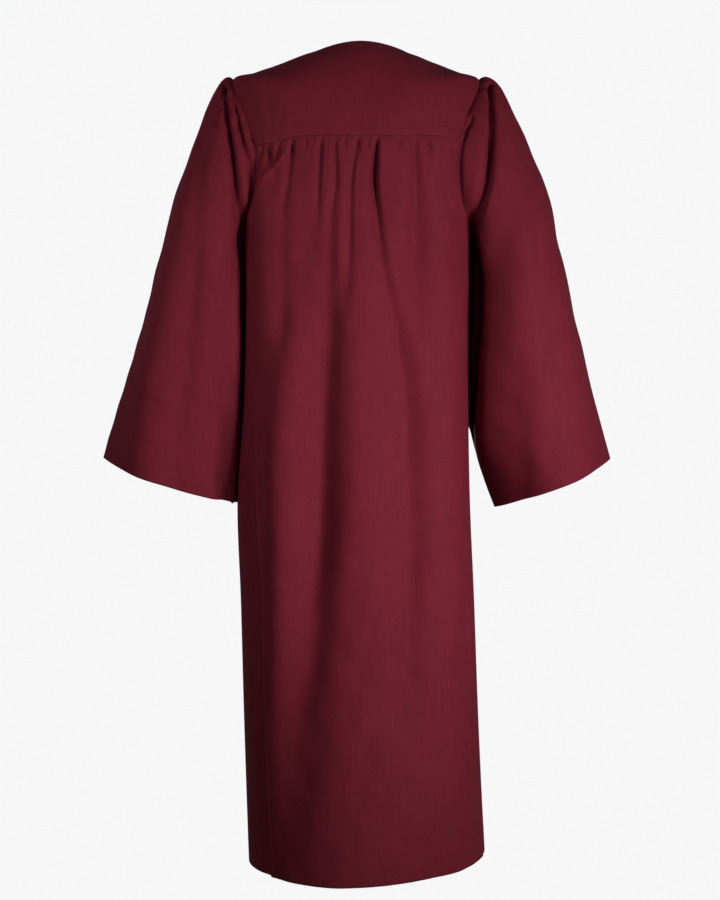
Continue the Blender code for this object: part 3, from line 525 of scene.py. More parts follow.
def grid_between(first, last, columns):
    """Turns and levels between two edges, row by row."""
    part = np.linspace(0, 1, columns)[None, :]
    turn = lerp(first[0][:, None], last[0][:, None], part)
    return turn, lerp(first[1][:, None], last[1][:, None], part), part


# Long, low waves that keep a panel from looking pressed: the way they run, their length and their height.
WAVES = [
    ((0.9, 0.1, 0.35), 0.074, 0.00050), ((0.7, -0.2, -0.60), 0.052, 0.00035),
    ((0.2, 0.3, 1.00), 0.118, 0.00045), ((1.0, 0.5, 0.15), 0.031, 0.00018),
]


def soft_waves(points):
    total = 0
    for number, (way, length, height) in enumerate(WAVES):
        along = points @ (np.array(way) / np.linalg.norm(way))
        bend = np.sin(points[..., 2] * (7 + number) + number)
        total = total + height * np.sin(along * 2 * np.pi / length + 1.7 * bend + number)
    return total


def side_fade(points, reach):
    """0 on a panel's two side edges, rising to 1 at a distance from them."""
    across = arc_lengths(points, 1)
    near = np.minimum(across, across[:, -1:] - across)
    return smooth(near / reach)


def seam_welt(points):
    """The low ridge of the allowances pressed to one side of a panel's side seams."""
    across = arc_lengths(points, 1)
    near = np.minimum(across, across[:, -1:] - across)
    return 0.0006 * bell(near - 0.004, 0.0026)


print("cloth thickness:", CLOTH_WALL * 1000, "mm")

# %% [markdown]
# ## The back yoke
# The yoke is one smooth piece from the nape to the blades. Its lower edge is turned under and lies over the
# gathers, so it stands a little proud of them and throws the thin dark line along the seam.

# %% Back yoke
YOKE_COLUMNS, YOKE_SHOULDER_ROWS, YOKE_ARMHOLE_ROWS = 180, 24, 40
YOKE_LAP = 0.0014


def back_yoke_edge(side):
    """Down the shoulder seam and on round the armhole to the yoke's corner."""
    levels = np.linspace(0, SHOULDER, YOKE_SHOULDER_ROWS, endpoint=False)
    turns = np.full(len(levels), SIGN[side] * 90.0)
    turn, level = armhole_edge(side, 0, 1, YOKE_ARMHOLE_ROWS)
    return np.concatenate([turns, turn]), np.concatenate([levels, level])


def make_back_yoke():
    right, left = back_yoke_edge("right"), back_yoke_edge("left")
    turn, level, part = grid_between(right, left, YOKE_COLUMNS)
    down = np.linspace(0, 1, len(turn))[:, None]
    seam = seam_level(turn)
    straight = lerp(right[1][-1], left[1][-1], part)
    level = level + (seam - straight) * smooth((down - 0.5) * 2)
    points, normals = torso(turn, level), outward(turn, level)
    x = points[..., 0]
    drag = 0.0016 * bell(x - 0.150 + (down - 0.8) * 0.05, 0.010) * smooth((down - 0.45) / 0.4)
    drag += 0.0014 * bell(x + 0.140 - (down - 0.8) * 0.04, 0.009) * smooth((down - 0.5) / 0.4)
    pulls = sum(depth * bell(x - centre, 0.004) for centre, _, _, depth in SHORT_GATHERS)
    proud = (YOKE_LAP - 0.12 * pulls) * smooth((down - 0.90) / 0.08) - 0.10 * pulls * bell(down - 0.90, 0.05)
    depth = (proud + drag + soft_waves(points)) * side_fade(points, 0.006) * smooth(down / 0.05)
    points = points + normals * depth[..., None]
    return hemmed_piece("back_yoke", points, 0.008)


PIECES = {"back_yoke": make_back_yoke()}

# %% [markdown]
# ## The gathered back
# A piece nearly twice the seam's width is drawn up on a thread and sewn under the yoke. Most of the gathers
# die out within a hand's width. A few run on as long soft troughs down to the hem.

# %% Back panel
BACK_COLUMNS, BACK_ARMHOLE_ROWS, BACK_SKIRT_ROWS = 300, 36, 96
SKIRT_HEM = 0.030


def outer_edge(side, first, last, armhole_rows, skirt_rows, end=HEM):
    """Down the armhole between two of its quarters, and on down the side seam to the hem."""
    turn, level = armhole_edge(side, first, last, armhole_rows)
    levels = np.linspace(UNDERARM, end, skirt_rows + 1)[1:]
    return np.concatenate([turn, side_seam(side, levels)]), np.concatenate([level, levels])


def make_back_panel():
    right, left = (outer_edge(side, 1, 2, BACK_ARMHOLE_ROWS, BACK_SKIRT_ROWS) for side in ("right", "left"))
    turn, level, part = grid_between(right, left, BACK_COLUMNS)
    row = np.arange(len(turn))[:, None] / (BACK_ARMHOLE_ROWS - 1)
    top = seam_level(turn)
    straight = lerp(right[1][0], left[1][0], part)
    followed = level + (top - straight) * smooth(1 - row * 2.5)
    even = lerp(top, UNDERARM, row)
    inner = smooth(np.minimum(part, 1 - part) * 6)
    level = np.where(row < 0.999, lerp(followed, even, inner), level)
    surface = torso(turn, level)
    depth = back_depth(surface) + soft_waves(surface) * smooth(row)
    depth = depth * side_fade(surface, lerp(0.014, 0.048, smooth(row - 1)))
    depth = depth + seam_welt(surface) * smooth(row - 0.6)
    points = surface + outward(turn, level) * depth[..., None]
    return hemmed_piece("back_panel", tucked(points, surface, part), SKIRT_HEM)


PIECES["back_panel"] = make_back_panel()

# %% [markdown]
# ## The fronts and their yokes
# The front is out of the picture, so it is finished plainly, as such gowns are: a small yoke at each
# shoulder, a V at the neck, and soft pleats from the yoke that open on the way down to the hem.

# %% Fronts
FRONT_COLUMNS, FRONT_YOKE_ROWS, FRONT_ARMHOLE_ROWS = 110, 40, 36
FRONT_HEM_RISE = 0.035
NECK_SIDE_X, FRONT_NECK_Z, ZIP_HALF = 0.068, -0.112, 0.0034
ZIP_END_LEVEL = UNDERARM + (HEM - UNDERARM) * 6 / 9
Pleat = namedtuple("Pleat", "x_yoke x_hem depth")
FRONT_PLEATS = [
    Pleat(0.034, 0.038, 0.0080), Pleat(0.055, 0.064, 0.0075), Pleat(0.076, 0.090, 0.0080),
    Pleat(0.097, 0.116, 0.0065), Pleat(0.118, 0.142, 0.0045),
]


def centre_turn(side, x, level):
    return SIGN[side] * (180 - np.degrees(np.arctan2(x, ring_at(level).front_y)))


def neckline(side):
    """The front neckline, straight in front view from the neck's side to the zip's top."""
    part = np.linspace(0, 1, FRONT_YOKE_ROWS) ** 1.7
    x, z = lerp(NECK_SIDE_X, ZIP_HALF, part), lerp(TORSO[0, 4], FRONT_NECK_Z, part)
    turn, level = np.full(len(part), 90.0), np.zeros(len(part))
    for _ in range(60):
        ring = ring_at(level)
        across = np.minimum(x / ring.half_width, 1)
        y = ring.front_y * (1 - across**ring.square) ** (1 / ring.square)
        turn = np.where(part > 0, 180 - np.degrees(np.arctan2(x, y)), 90)
        level = lerp(level, level_at(turn, z), 0.5)
    level[0] = 0
    return SIGN[side] * turn, level


def front_depth(points, level):
    """The fronts' pleats, with an edge that is a little steeper on the side away from the zip."""
    x, z = np.abs(points[..., 0] - ring_at(level).centre_x), points[..., 2]
    along = np.clip((FRONT_YOKE_Z - z) / (FRONT_YOKE_Z + 1.241), 0, 1)
    total = np.zeros(x.shape)
    for pleat in FRONT_PLEATS:
        centre = lerp(pleat.x_yoke, pleat.x_hem, along)
        total -= pleat.depth * lean_bell(x - centre, lerp(0.0062, 0.0120, along), 0.2)
    return total * smooth((FRONT_YOKE_Z - z) / 0.020) * lerp(1, 0.7, along)


def make_front(side):
    neck = neckline(side)
    armhole_top = armhole_edge(side, 4, 3, FRONT_YOKE_ROWS)
    outer = outer_edge(side, 3, 2, FRONT_ARMHOLE_ROWS, BACK_SKIRT_ROWS, HEM - FRONT_HEM_RISE)
    eased = np.linspace(neck[1][-1], UNDERARM, FRONT_ARMHOLE_ROWS)
    levels = np.concatenate([eased, outer[1][FRONT_ARMHOLE_ROWS:]])
    opening = np.where(levels > ZIP_END_LEVEL + 0.07, 0.0, ZIP_HALF)
    turn, level, part = grid_between((centre_turn(side, opening, levels), levels), outer, FRONT_COLUMNS)
    if side == "left":
        turn, level = turn[:, ::-1], level[:, ::-1]
    surface = torso(turn, level)
    depth = front_depth(surface, level) * side_fade(surface, 0.016)
    points = tucked(surface + outward(turn, level) * depth[..., None], surface, part)
    PIECES[f"front_{side}"] = hemmed_piece(f"front_{side}", points, SKIRT_HEM)

    rows = np.linspace(0, 1, FRONT_YOKE_ROWS)[:, None]
    yoke_turn, yoke_level, part = grid_between(neck, armhole_top, FRONT_COLUMNS)
    seam_turn = turn[0][::-1] if side == "left" else turn[0]
    seam_levels = level[0][::-1] if side == "left" else level[0]
    yoke_turn = yoke_turn + (seam_turn - yoke_turn[-1]) * rows
    yoke_level = yoke_level + (seam_levels - yoke_level[-1]) * rows
    if side == "left":
        yoke_turn, yoke_level = yoke_turn[:, ::-1], yoke_level[:, ::-1]
    points = torso(yoke_turn, yoke_level)
    proud = YOKE_LAP * smooth((rows - 0.90) / 0.08) * side_fade(points, 0.006)
    points = points + outward(yoke_turn, yoke_level) * proud[..., None]
    PIECES[f"front_yoke_{side}"] = hemmed_piece(f"front_yoke_{side}", points, 0.006)


for side in SIGN:
    make_front(side)

# %% [markdown]
# ## The bell sleeves
# A bell sleeve is cut far wider than the arm and gathered over the shoulder point. It leaves the armhole on
# a short lip, and then falls in one smooth curve to a wide slanting hem. The folds hang from the gathers.

# %% Sleeve rings and folds
Cuff = namedtuple("Cuff", "out_x out_z in_x in_z middle_y half_depth lean square")
SLEEVES = {
    "left": np.array([
        Cuff(0.274, -0.135, 0.191, -0.305, -0.006, 0.104, 0, 2.1),
        Cuff(0.313, -0.262, 0.191, -0.380, -0.022, 0.114, 1, 2.2),
        Cuff(0.350, -0.394, 0.192, -0.475, -0.045, 0.120, 2, 2.3),
        Cuff(0.385, -0.500, 0.194, -0.572, -0.060, 0.124, 1, 2.2),
        Cuff(0.4150, -0.598, 0.1960, -0.670, -0.062, 0.122, -1.5, 2.0),
    ]),
    "right": np.array([
        Cuff(-0.279, -0.135, -0.191, -0.305, -0.004, 0.104, 0, 2.1),
        Cuff(-0.315, -0.262, -0.189, -0.380, -0.014, 0.114, 1, 2.2),
        Cuff(-0.347, -0.394, -0.184, -0.475, -0.024, 0.120, 2, 2.3),
        Cuff(-0.375, -0.503, -0.182, -0.568, -0.030, 0.122, 1, 2.2),
        Cuff(-0.4015, -0.597, -0.2170, -0.674, -0.034, 0.118, -2.5, 2.0),
    ]),
}
SLEEVE_FOLDS = {
    ("left", "back"): {
        "shoulder": (0.0, [(0.211, -0.008, 0.0040, -0.0050), (0.219, -0.036, 0.0050, -0.0050),
                           (0.224, -0.090, 0.0070, 0.0)]),
        "deep": (0.2, [(0.209, -0.010, 0.0038, -0.0090), (0.203, -0.070, 0.0050, -0.0170),
                       (0.196, -0.110, 0.0056, -0.0200), (0.187, -0.170, 0.0062, -0.0180),
                       (0.180, -0.225, 0.0080, -0.0110)]),
        "inner": (0.0, [(0.193, -0.024, 0.0032, -0.0050), (0.186, -0.060, 0.0040, -0.0110),
                        (0.177, -0.098, 0.0044, -0.0120), (0.166, -0.130, 0.0048, -0.0060)]),
        "long": (0.0, [(0.236, -0.020, 0.0060, -0.0030), (0.250, -0.186, 0.0140, -0.0040),
                       (0.258, -0.340, 0.0200, -0.0080), (0.276, -0.4956, 0.0230, -0.0090),
                       (0.290, -0.574, 0.0240, -0.0080), (0.300, -0.660, 0.0240, -0.0060)]),
        "low": (-0.2, [(0.222, -0.500, 0.0140, 0.0), (0.216, -0.574, 0.0140, -0.0080),
                       (0.214, -0.670, 0.0140, -0.0110)]),
        "inner_ridge": (0.0, [(0.205, -0.215, 0.0140, 0.0), (0.197, -0.290, 0.0170, 0.0095),
                              (0.199, -0.440, 0.0180, 0.0110), (0.200, -0.560, 0.0180, 0.0070),
                              (0.200, -0.680, 0.0180, 0.0020)]),
        "outer_ridge": (0.0, [(0.262, -0.100, 0.0120, 0.0), (0.304, -0.340, 0.0200, 0.0070),
                              (0.335, -0.4956, 0.0230, 0.0080), (0.350, -0.620, 0.0250, 0.0060)]),
    },
    ("right", "back"): {
        "shoulder": (0.0, [(-0.201, -0.008, 0.0040, -0.0050), (-0.203, -0.029, 0.0045, -0.0045),
                           (-0.208, -0.080, 0.0060, 0.0)]),
        "deep": (0.2, [(-0.202, -0.010, 0.0038, -0.0080), (-0.205, -0.050, 0.0048, -0.0160),
                       (-0.203, -0.098, 0.0060, -0.0210), (-0.194, -0.160, 0.0070, -0.0210),
                       (-0.178, -0.215, 0.0090, -0.0140)]),
        "inner": (0.0, [(-0.170, -0.062, 0.0036, -0.0060), (-0.159, -0.085, 0.0042, -0.0110),
                        (-0.151, -0.112, 0.0046, -0.0070)]),
        "long": (-0.3, [(-0.240, -0.020, 0.0060, -0.0030), (-0.268, -0.200, 0.0160, -0.0045),
                        (-0.292, -0.420, 0.0230, -0.0030), (-0.300, -0.560, 0.0230, 0.0)]),
        "low": (0.0, [(-0.236, -0.360, 0.0180, 0.0), (-0.244, -0.520, 0.0200, -0.0040),
                      (-0.256, -0.680, 0.0220, -0.0060)]),
        "inner_ridge": (0.0, [(-0.194, -0.205, 0.0150, 0.0), (-0.188, -0.290, 0.0200, 0.0120),
                              (-0.187, -0.440, 0.0220, 0.0140), (-0.190, -0.560, 0.0220, 0.0120),
                              (-0.206, -0.680, 0.0200, 0.0050)]),
        "outer_ridge": (0.0, [(-0.255, -0.100, 0.0120, 0.0), (-0.300, -0.300, 0.0200, 0.0050),
                              (-0.340, -0.560, 0.0260, 0.0060)]),
    },
    ("left", "front"): {
        "shoulder": (0.0, [(0.214, 0.000, 0.0040, -0.0050), (0.220, -0.050, 0.0055, -0.0050),
                           (0.224, -0.110, 0.0070, 0.0)]),
        "deep": (0.2, [(0.200, -0.010, 0.0045, -0.0060), (0.202, -0.110, 0.0065, -0.0090),
                       (0.194, -0.220, 0.0090, -0.0060)]),
        "long": (-0.2, [(0.234, -0.020, 0.0060, -0.0030), (0.262, -0.250, 0.0160, -0.0060),
                        (0.300, -0.560, 0.0230, -0.0080)]),
        "ridge": (0.0, [(0.270, -0.140, 0.0120, 0.0), (0.310, -0.360, 0.0200, 0.0050),
                        (0.350, -0.600, 0.0240, 0.0060)]),
    },
    ("right", "front"): {
        "shoulder": (0.0, [(-0.216, 0.000, 0.0040, -0.0050), (-0.222, -0.060, 0.0055, -0.0050),
                           (-0.230, -0.130, 0.0070, 0.0)]),
        "deep": (-0.2, [(-0.198, -0.010, 0.0045, -0.0060), (-0.204, -0.110, 0.0065, -0.0090),
                        (-0.198, -0.220, 0.0090, -0.0060)]),
        "long": (0.2, [(-0.238, -0.020, 0.0060, -0.0030), (-0.258, -0.260, 0.0160, -0.0060),
                       (-0.284, -0.600, 0.0230, -0.0080)]),
        "ridge": (0.0, [(-0.275, -0.150, 0.0120, 0.0), (-0.318, -0.380, 0.0200, 0.0050),
                        (-0.345, -0.600, 0.0240, 0.0060)]),
    },
}
print("sleeve folds:", sum(len(folds) for folds in SLEEVE_FOLDS.values()))

# %% Sleeves
SLEEVE_COLUMNS, HEAD_ROWS, SLEEVE_ROWS = 300, 40, 84
CUFF_HEM = 0.020
# A cuff falls almost flat, so its section goes from round under the arm to a lens at the hem.
LENS_BY_RING = (0.0, 0.15, 0.35, 0.60, 0.80)
HEAD_LIFT = {"left": 0.037, "right": 0.041}


def cuff_rings(side, angle):
    """Each ring's points at these angles from its outermost point by the back: rings by columns."""
    rings = []
    for lens, row in zip(LENS_BY_RING, SLEEVES[side]):
        cuff = Cuff(*row)
        across, back = np.cos(np.radians(angle)), np.sin(np.radians(angle))
        out, inner = np.array([cuff.out_x, 0, cuff.out_z]), np.array([cuff.in_x, 0, cuff.in_z])
        lean = math.radians(cuff.lean)
        depth = np.array([0, math.cos(lean), -math.sin(lean)]) * cuff.half_depth
        reach = (np.abs(across) ** cuff.square + np.abs(back) ** cuff.square) ** (-1 / cuff.square)
        across, back = across * reach, back * reach
        back = back * np.abs(back) ** lens
        middle = (out + inner) / 2 + np.array([0, cuff.middle_y, 0])
        rings.append(middle + (out - inner)[None] / 2 * across[:, None] + depth[None] * back[:, None])
    return np.array(rings)


# Where a sleeve lies against the body: how near, and between which places from front to back and in height.
# Cloth drawn in slides down the cuff's slant, so that its hem stays straight.
HUG_GAP, CUFF_SLANT = 0.0016, 0.24
Hug = namedtuple("Hug", "y_from y_full y_keep y_to z_from z_full z_keep z_to")
HUGS = {
    "left": Hug(-0.080, -0.040, 0.020, 0.060, -0.190, -0.235, -0.640, -0.700),
    "right": Hug(-0.105, -0.075, -0.040, -0.012, -0.200, -0.245, -0.495, -0.585),
}


def hug_body(points, side, angle):
    """Draws the inner side of a sleeve in against the torso."""
    x, y, z = np.moveaxis(points, -1, 0)
    hug = HUGS[side]
    ring = ring_at(level_at(np.full(z.shape, SIGN[side] * 90.0), np.clip(z, -1.2, 0.03)))
    depth = np.where(y > 0, ring.back_y, ring.front_y)
    body = ring.half_width * (1 - np.clip(np.abs(y) / depth, 0, 0.99) ** ring.square) ** (1 / ring.square)
    gap = SIGN[side] * (x - ring.centre_x) - body
    weight = smooth((y - hug.y_from) / (hug.y_full - hug.y_from))
    weight = weight * (1 - smooth((y - hug.y_keep) / (hug.y_to - hug.y_keep)))
    weight = weight * smooth((hug.z_from - z) / (hug.z_from - hug.z_full))
    weight = weight * (1 - smooth((hug.z_keep - z) / (hug.z_keep - hug.z_to)))
    weight = weight * smooth(-np.cos(np.radians(angle)) / 0.45) * (gap > HUG_GAP)
    moved = points.copy()
    shift = (gap - HUG_GAP) * weight
    moved[..., 0] -= SIGN[side] * shift
    moved[..., 2] -= CUFF_SLANT * shift
    return moved


def make_sleeve(side):
    share = np.arange(SLEEVE_COLUMNS) / SLEEVE_COLUMNS
    quarters = np.interp(share, [0, 0.58, 1], [0, 2, 4])
    angle = armhole_quarter(side, quarters)
    turn, level = armhole(side, angle)
    edge, lip = torso(turn, level), outward(turn, level)
    along = unit(np.roll(edge, -1, axis=0) - np.roll(edge, 1, axis=0))
    inward = unit(np.cross(along, lip)) * SIGN[side]
    start = edge + inward * 0.0003 - lip * 0.0010
    rings = cuff_rings(side, angle)
    lift = lerp(0.007, HEAD_LIFT[side], (1 + np.cos(np.radians(angle))) / 2)[:, None]
    way = unit(rings[1] - start)
    span = np.linalg.norm(rings[0] - start, axis=-1, keepdims=True)
    near, far = start + lip * lift, rings[0] - way * span * 0.36
    t = np.linspace(0, 1, HEAD_ROWS)[:, None, None] ** 1.3
    head = start * (1 - t) ** 3 + near * 3 * t * (1 - t) ** 2 + far * 3 * t * t * (1 - t) + rings[0] * t**3
    stack = np.concatenate([start[None], rings])
    lower = curve_through(stack, np.linspace(1, len(rings), SLEEVE_ROWS + 1)[1:])
    points = hug_body(np.concatenate([head, lower]), side, angle)
    normals = grid_normals(points, closed=True)
    if normals[60, :, 0].dot(points[60, :, 0] - points[60, :, 0].mean()) < 0:
        points, angle = points[:, ::-1], angle[::-1]
        normals = grid_normals(points, closed=True)
    x, z = points[..., 0], points[..., 2]
    back, front = (fold_depth(SLEEVE_FOLDS[side, face], x, z) for face in ("back", "front"))
    facing = smooth((np.abs(normals[..., 1]) - 0.10) / 0.40)
    depth = np.where(normals[..., 1] > 0, back, front) * facing
    row = np.arange(len(points))[:, None] / HEAD_ROWS
    top = smooth((np.cos(np.radians(angle)) + 0.15) / 0.8)
    ripple = np.sin(np.radians(angle) * 34) * 0.5 + np.sin(np.radians(angle) * 21 + 1.0) * 0.5
    depth = depth + 0.0022 * ripple * top * smooth(row / 0.08) * smooth((0.75 - row) / 0.6)
    depth = depth * smooth(row / 0.20) + soft_waves(points) * smooth(row / 0.3)
    points = points + normals * depth[..., None]
    return hemmed_piece(f"sleeve_{side}", points, CUFF_HEM, closed=True)


for side in SIGN:
    PIECES[f"sleeve_{side}"] = make_sleeve(side)

# %% [markdown]
# ## Rods: one maker for thread and zip teeth
# A stitch and the coil of a zip are both a bent rod of round section. One helper sweeps a ring along many
# paths at once and makes a single mesh of them, so that a thousand stitches cost one object.

# %% Sweeping rods
def rods(name, paths, up, radii, material, sides=6):
    """Round rods as one mesh: paths are rods by rings by xyz, and radii gives one size for each ring."""
    along = unit(np.gradient(paths, axis=1))
    side_way = unit(np.cross(along, up))
    top_way = np.cross(side_way, along)
    angle = (np.arange(sides) * 2 * np.pi / sides)[:, None]
    circle = side_way[:, :, None] * np.cos(angle) + top_way[:, :, None] * np.sin(angle)
    points = paths[:, :, None] + circle * np.asarray(radii)[:, None, None]
    index = np.arange(points.size // 3).reshape(points.shape[:3])
    turned = np.roll(index, -1, axis=2)
    quads = np.stack([index[:, :-1], index[:, 1:], turned[:, 1:], turned[:, :-1]], axis=-1).reshape(-1, 4)
    ends = np.concatenate([index[:, 0], index[:, -1, ::-1]])
    mesh = bpy.data.meshes.new(name)
    mesh.from_pydata(points.reshape(-1, 3).tolist(), [], quads.tolist() + ends.tolist())
    mesh.shade_smooth()
    mesh.materials.append(material)
    piece = bpy.data.objects.new(name, mesh)
    bpy.context.scene.collection.objects.link(piece)
    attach(piece, "gown")
    print(name, len(paths), "rods,", len(mesh.polygons), "faces")
    return piece


# %% [markdown]
# ## Thread and stitches
# Lockstitch in thread of the cloth's own colour holds the hems. Each stitch is about 2.6 mm long and sinks
# into the cloth at both ends, where the needle went through. The thread is a little glossier than the twill.

# %% Thread
THREAD_RADIUS, STITCH_LENGTH, STITCH_PITCH = 0.00024, 0.0026, 0.0032
THREAD_FINISH = {"Specular IOR Level": 0.35, "Sheen Weight": 0.05}


def thread_material():
    material, tree, shader = new_material("maroon_thread", THREAD_FINISH)
    place = add_node(tree, "ShaderNodeTexCoord", None, "Object")
    twist = add_node(tree, "ShaderNodeTexNoise", Vector=place, Scale=2600.0, Detail=2.0)
    patch = add_node(tree, "ShaderNodeTexNoise", Vector=place, Scale=30.0, Detail=2.0)
    tone = (twist * 0.5 + patch * 0.5).clamp(0.0, 1.0)
    bump = add_node(tree, "ShaderNodeBump", None, Strength=0.4, Distance=0.0001, Height=twist)
    drive(tree, shader, Base_Color=tone.blend(CLOTH_DARK, CLOTH_LIGHT), Roughness=0.62 - tone * 0.15, Normal=bump)
    return material


THREAD = thread_material()


def line_at(values, places, along):
    """Values of a line, such as its points, at distances along it."""
    return np.stack([np.interp(places, along, values[:, axis]) for axis in range(3)], axis=-1)


def stitch_row(name, line, normals):
    """A row of stitches that lies on a line of points of a cloth's middle surface."""
    along = arc_lengths(line, 0)
    part = np.linspace(0, 1, 5)
    starts = np.arange(STITCH_PITCH / 2, along[-1] - STITCH_LENGTH, STITCH_PITCH)
    places = starts[:, None] + STITCH_LENGTH * part
    up = unit(line_at(normals, places, along))
    rise = CLOTH_WALL / 2 + THREAD_RADIUS * (1.1 * np.sin(np.pi * part) - 0.5)
    radii = THREAD_RADIUS * (0.55 + 0.45 * np.sin(np.pi * part))
    paths = line_at(line, places, along) + up * rise[:, None]
    return rods(name, paths, up, radii, THREAD)


def line_above_edge(name, height, closed=False, first=False):
    """The line of points, and their normals, that runs along a piece's last or first edge."""
    grid, normals = GRIDS[name], grid_normals(GRIDS[name], closed)
    if first:
        grid, normals = grid[::-1], normals[::-1]
    place = height / np.linalg.norm(grid[-1] - grid[-2], axis=-1).mean()
    row, part = len(grid) - 1 - int(place), place % 1
    line, up = lerp(grid[row], grid[row - 1], part), lerp(normals[row], normals[row - 1], part)
    if closed:
        line, up = np.concatenate([line, line[:1]]), np.concatenate([up, up[:1]])
    return line, unit(up)


def line_beside_edge(name, inset, column):
    """The same along a piece's side edge, which is its column 0 or -1."""
    grid, normals = GRIDS[name], grid_normals(GRIDS[name])
    if column:
        grid, normals = grid[:, ::-1], normals[:, ::-1]
    place = inset / np.linalg.norm(grid[:, 1] - grid[:, 0], axis=-1).mean()
    low, part = int(place), place % 1
    return lerp(grid[:, low], grid[:, low + 1], part), unit(lerp(normals[:, low], normals[:, low + 1], part))


# %% Rows of stitches
HEM_SEW, CUFF_SEW, EDGE_SEW, ZIP_SEW = 0.027, 0.017, 0.0016, 0.0050
STITCHES = {name: [] for name in PIECES}
for name in ("back_panel", "front_left", "front_right"):
    STITCHES[name].append(stitch_row(f"{name}_hem_stitches", *line_above_edge(name, HEM_SEW)))
for side in SIGN:
    name = f"sleeve_{side}"
    STITCHES[name].append(stitch_row(f"{name}_hem_stitches", *line_above_edge(name, CUFF_SEW, closed=True)))
    front, yoke = f"front_{side}", f"front_yoke_{side}"
    centre_column = 0 if side == "right" else -1
    line, up = line_beside_edge(front, ZIP_SEW, centre_column)
    keep = line[:, 2] > torso(180, ZIP_END_LEVEL)[2]
    STITCHES[front].append(stitch_row(f"{front}_zip_stitches", line[keep], up[keep]))
    STITCHES[yoke].append(stitch_row(f"{yoke}_seam_stitches", *line_above_edge(yoke, EDGE_SEW)))
    STITCHES[yoke].append(stitch_row(f"{yoke}_neck_stitches", *line_above_edge(yoke, EDGE_SEW, first=True)))
STITCHES["back_yoke"].append(stitch_row("back_yoke_neck_stitches", *line_above_edge("back_yoke", EDGE_SEW, first=True)))
STITCHES["back_yoke"].append(stitch_row("back_yoke_seam_stitches", *line_above_edge("back_yoke", EDGE_SEW)))

# %% [markdown]
# ## The front zip
# Behind the two front edges lie woven tapes, and each carries a moulded nylon coil. Where the zip is closed,
# the turns of one coil lock between those of the other, so the second coil is shifted by half a turn.

# %% Tapes and coils
TAPE_DARK, TAPE_LIGHT = (0.085, 0.0060, 0.0120), (0.115, 0.0085, 0.0165)
TAPE_INNER, TAPE_OUTER, TAPE_DEPTH, TAPE_WALL = 0.0006, 0.0144, -0.0016, 0.0007
CHAIN_START, ZIP_RUNS_ON, COIL_PITCH, COIL_POINTS = 0.0098, 0.18, 0.0018, 10
COIL_ACROSS, COIL_DEEP, COIL_WIRE, COIL_DEPTH = 0.00115, 0.00062, 0.00030, 0.0001
TAPE_CLOTH = cloth_material("zip_tape_weave", TAPE_DARK, TAPE_LIGHT, 1500, CLOTH_FINISH, 0.0002)

zip_levels = np.linspace(float(level_at(180, FRONT_NECK_Z - CHAIN_START)), ZIP_END_LEVEL + ZIP_RUNS_ON, 160)
zip_middle, zip_out = torso(180, zip_levels), outward(180, zip_levels)
tapes = {}
for side in SIGN:
    across = np.linspace(TAPE_INNER, TAPE_OUTER, 8)[:: SIGN[side]]
    turn = np.stack([centre_turn(side, x, zip_levels) for x in across], axis=1)
    level = np.repeat(zip_levels[:, None], len(across), axis=1)
    if side == "right":
        turn = turn[:, ::-1]
    turn = turn[:, ::-1]
    points = torso(turn, level) + outward(turn, level) * TAPE_DEPTH
    tapes[side] = cloth_piece(f"zip_tape_{side}_weave", points, TAPE_CLOTH, wall=TAPE_WALL)
    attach(tapes[side], "gown")
    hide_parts(f"zip_tape_{side}")

# %% Coils
COIL_FINISH = {"Specular IOR Level": 0.20}


def coil_material():
    material, tree, shader = new_material("nylon_coil", COIL_FINISH)
    place = add_node(tree, "ShaderNodeTexCoord", None, "Object")
    speckle = add_node(tree, "ShaderNodeTexNoise", Vector=place, Scale=900.0, Detail=2.0)
    bump = add_node(tree, "ShaderNodeBump", None, Strength=0.2, Distance=0.00005, Height=speckle)
    drive(tree, shader, Base_Color=speckle.blend(TAPE_DARK, TAPE_LIGHT), Roughness=0.34 + speckle * 0.12, Normal=bump)
    return material


zip_run = arc_lengths(zip_middle, 0)
turns = int(zip_run[-1] / COIL_PITCH)
coil_places = np.linspace(0, zip_run[-1], turns * COIL_POINTS)
coil_middle, coil_out = line_at(zip_middle, coil_places, zip_run), line_at(zip_out, coil_places, zip_run)
coils = []
for side, sign in SIGN.items():
    phase = 2 * np.pi * coil_places / COIL_PITCH + (np.pi if side == "left" else 0)
    sideways = sign * (COIL_ACROSS * 0.80 + COIL_ACROSS * np.cos(phase) * (1 if side == "left" else -1) * sign)
    deep = COIL_DEPTH + COIL_DEEP * np.sin(phase)
    coils.append(coil_middle + np.array([1.0, 0, 0]) * sideways[:, None] + coil_out * deep[:, None])
coils = np.array(coils)
chain = rods("zip_coils", coils, np.array([1.0, 0, 0]), np.full(coils.shape[1], COIL_WIRE), coil_material(), 5)
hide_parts("zip_chain")

# %% [markdown]
# ## Slider and pull tab
# Both are stamped metal, lacquered to match the cloth. Their solids already have the right shapes, so they
# keep their meshes and only get a narrow bevel, which catches the light, and a finish: lacquer that is
# slightly mottled, with a few small scuffs down to bare metal.

# %% Lacquered metal
LACQUER_DARK, LACQUER_LIGHT, BARE_METAL = (0.120, 0.012, 0.018), (0.170, 0.022, 0.030), (0.52, 0.47, 0.44)
LACQUER_FINISH = {"Coat Roughness": 0.35, "Coat Weight": 0.12, "Specular IOR Level": 0.22}


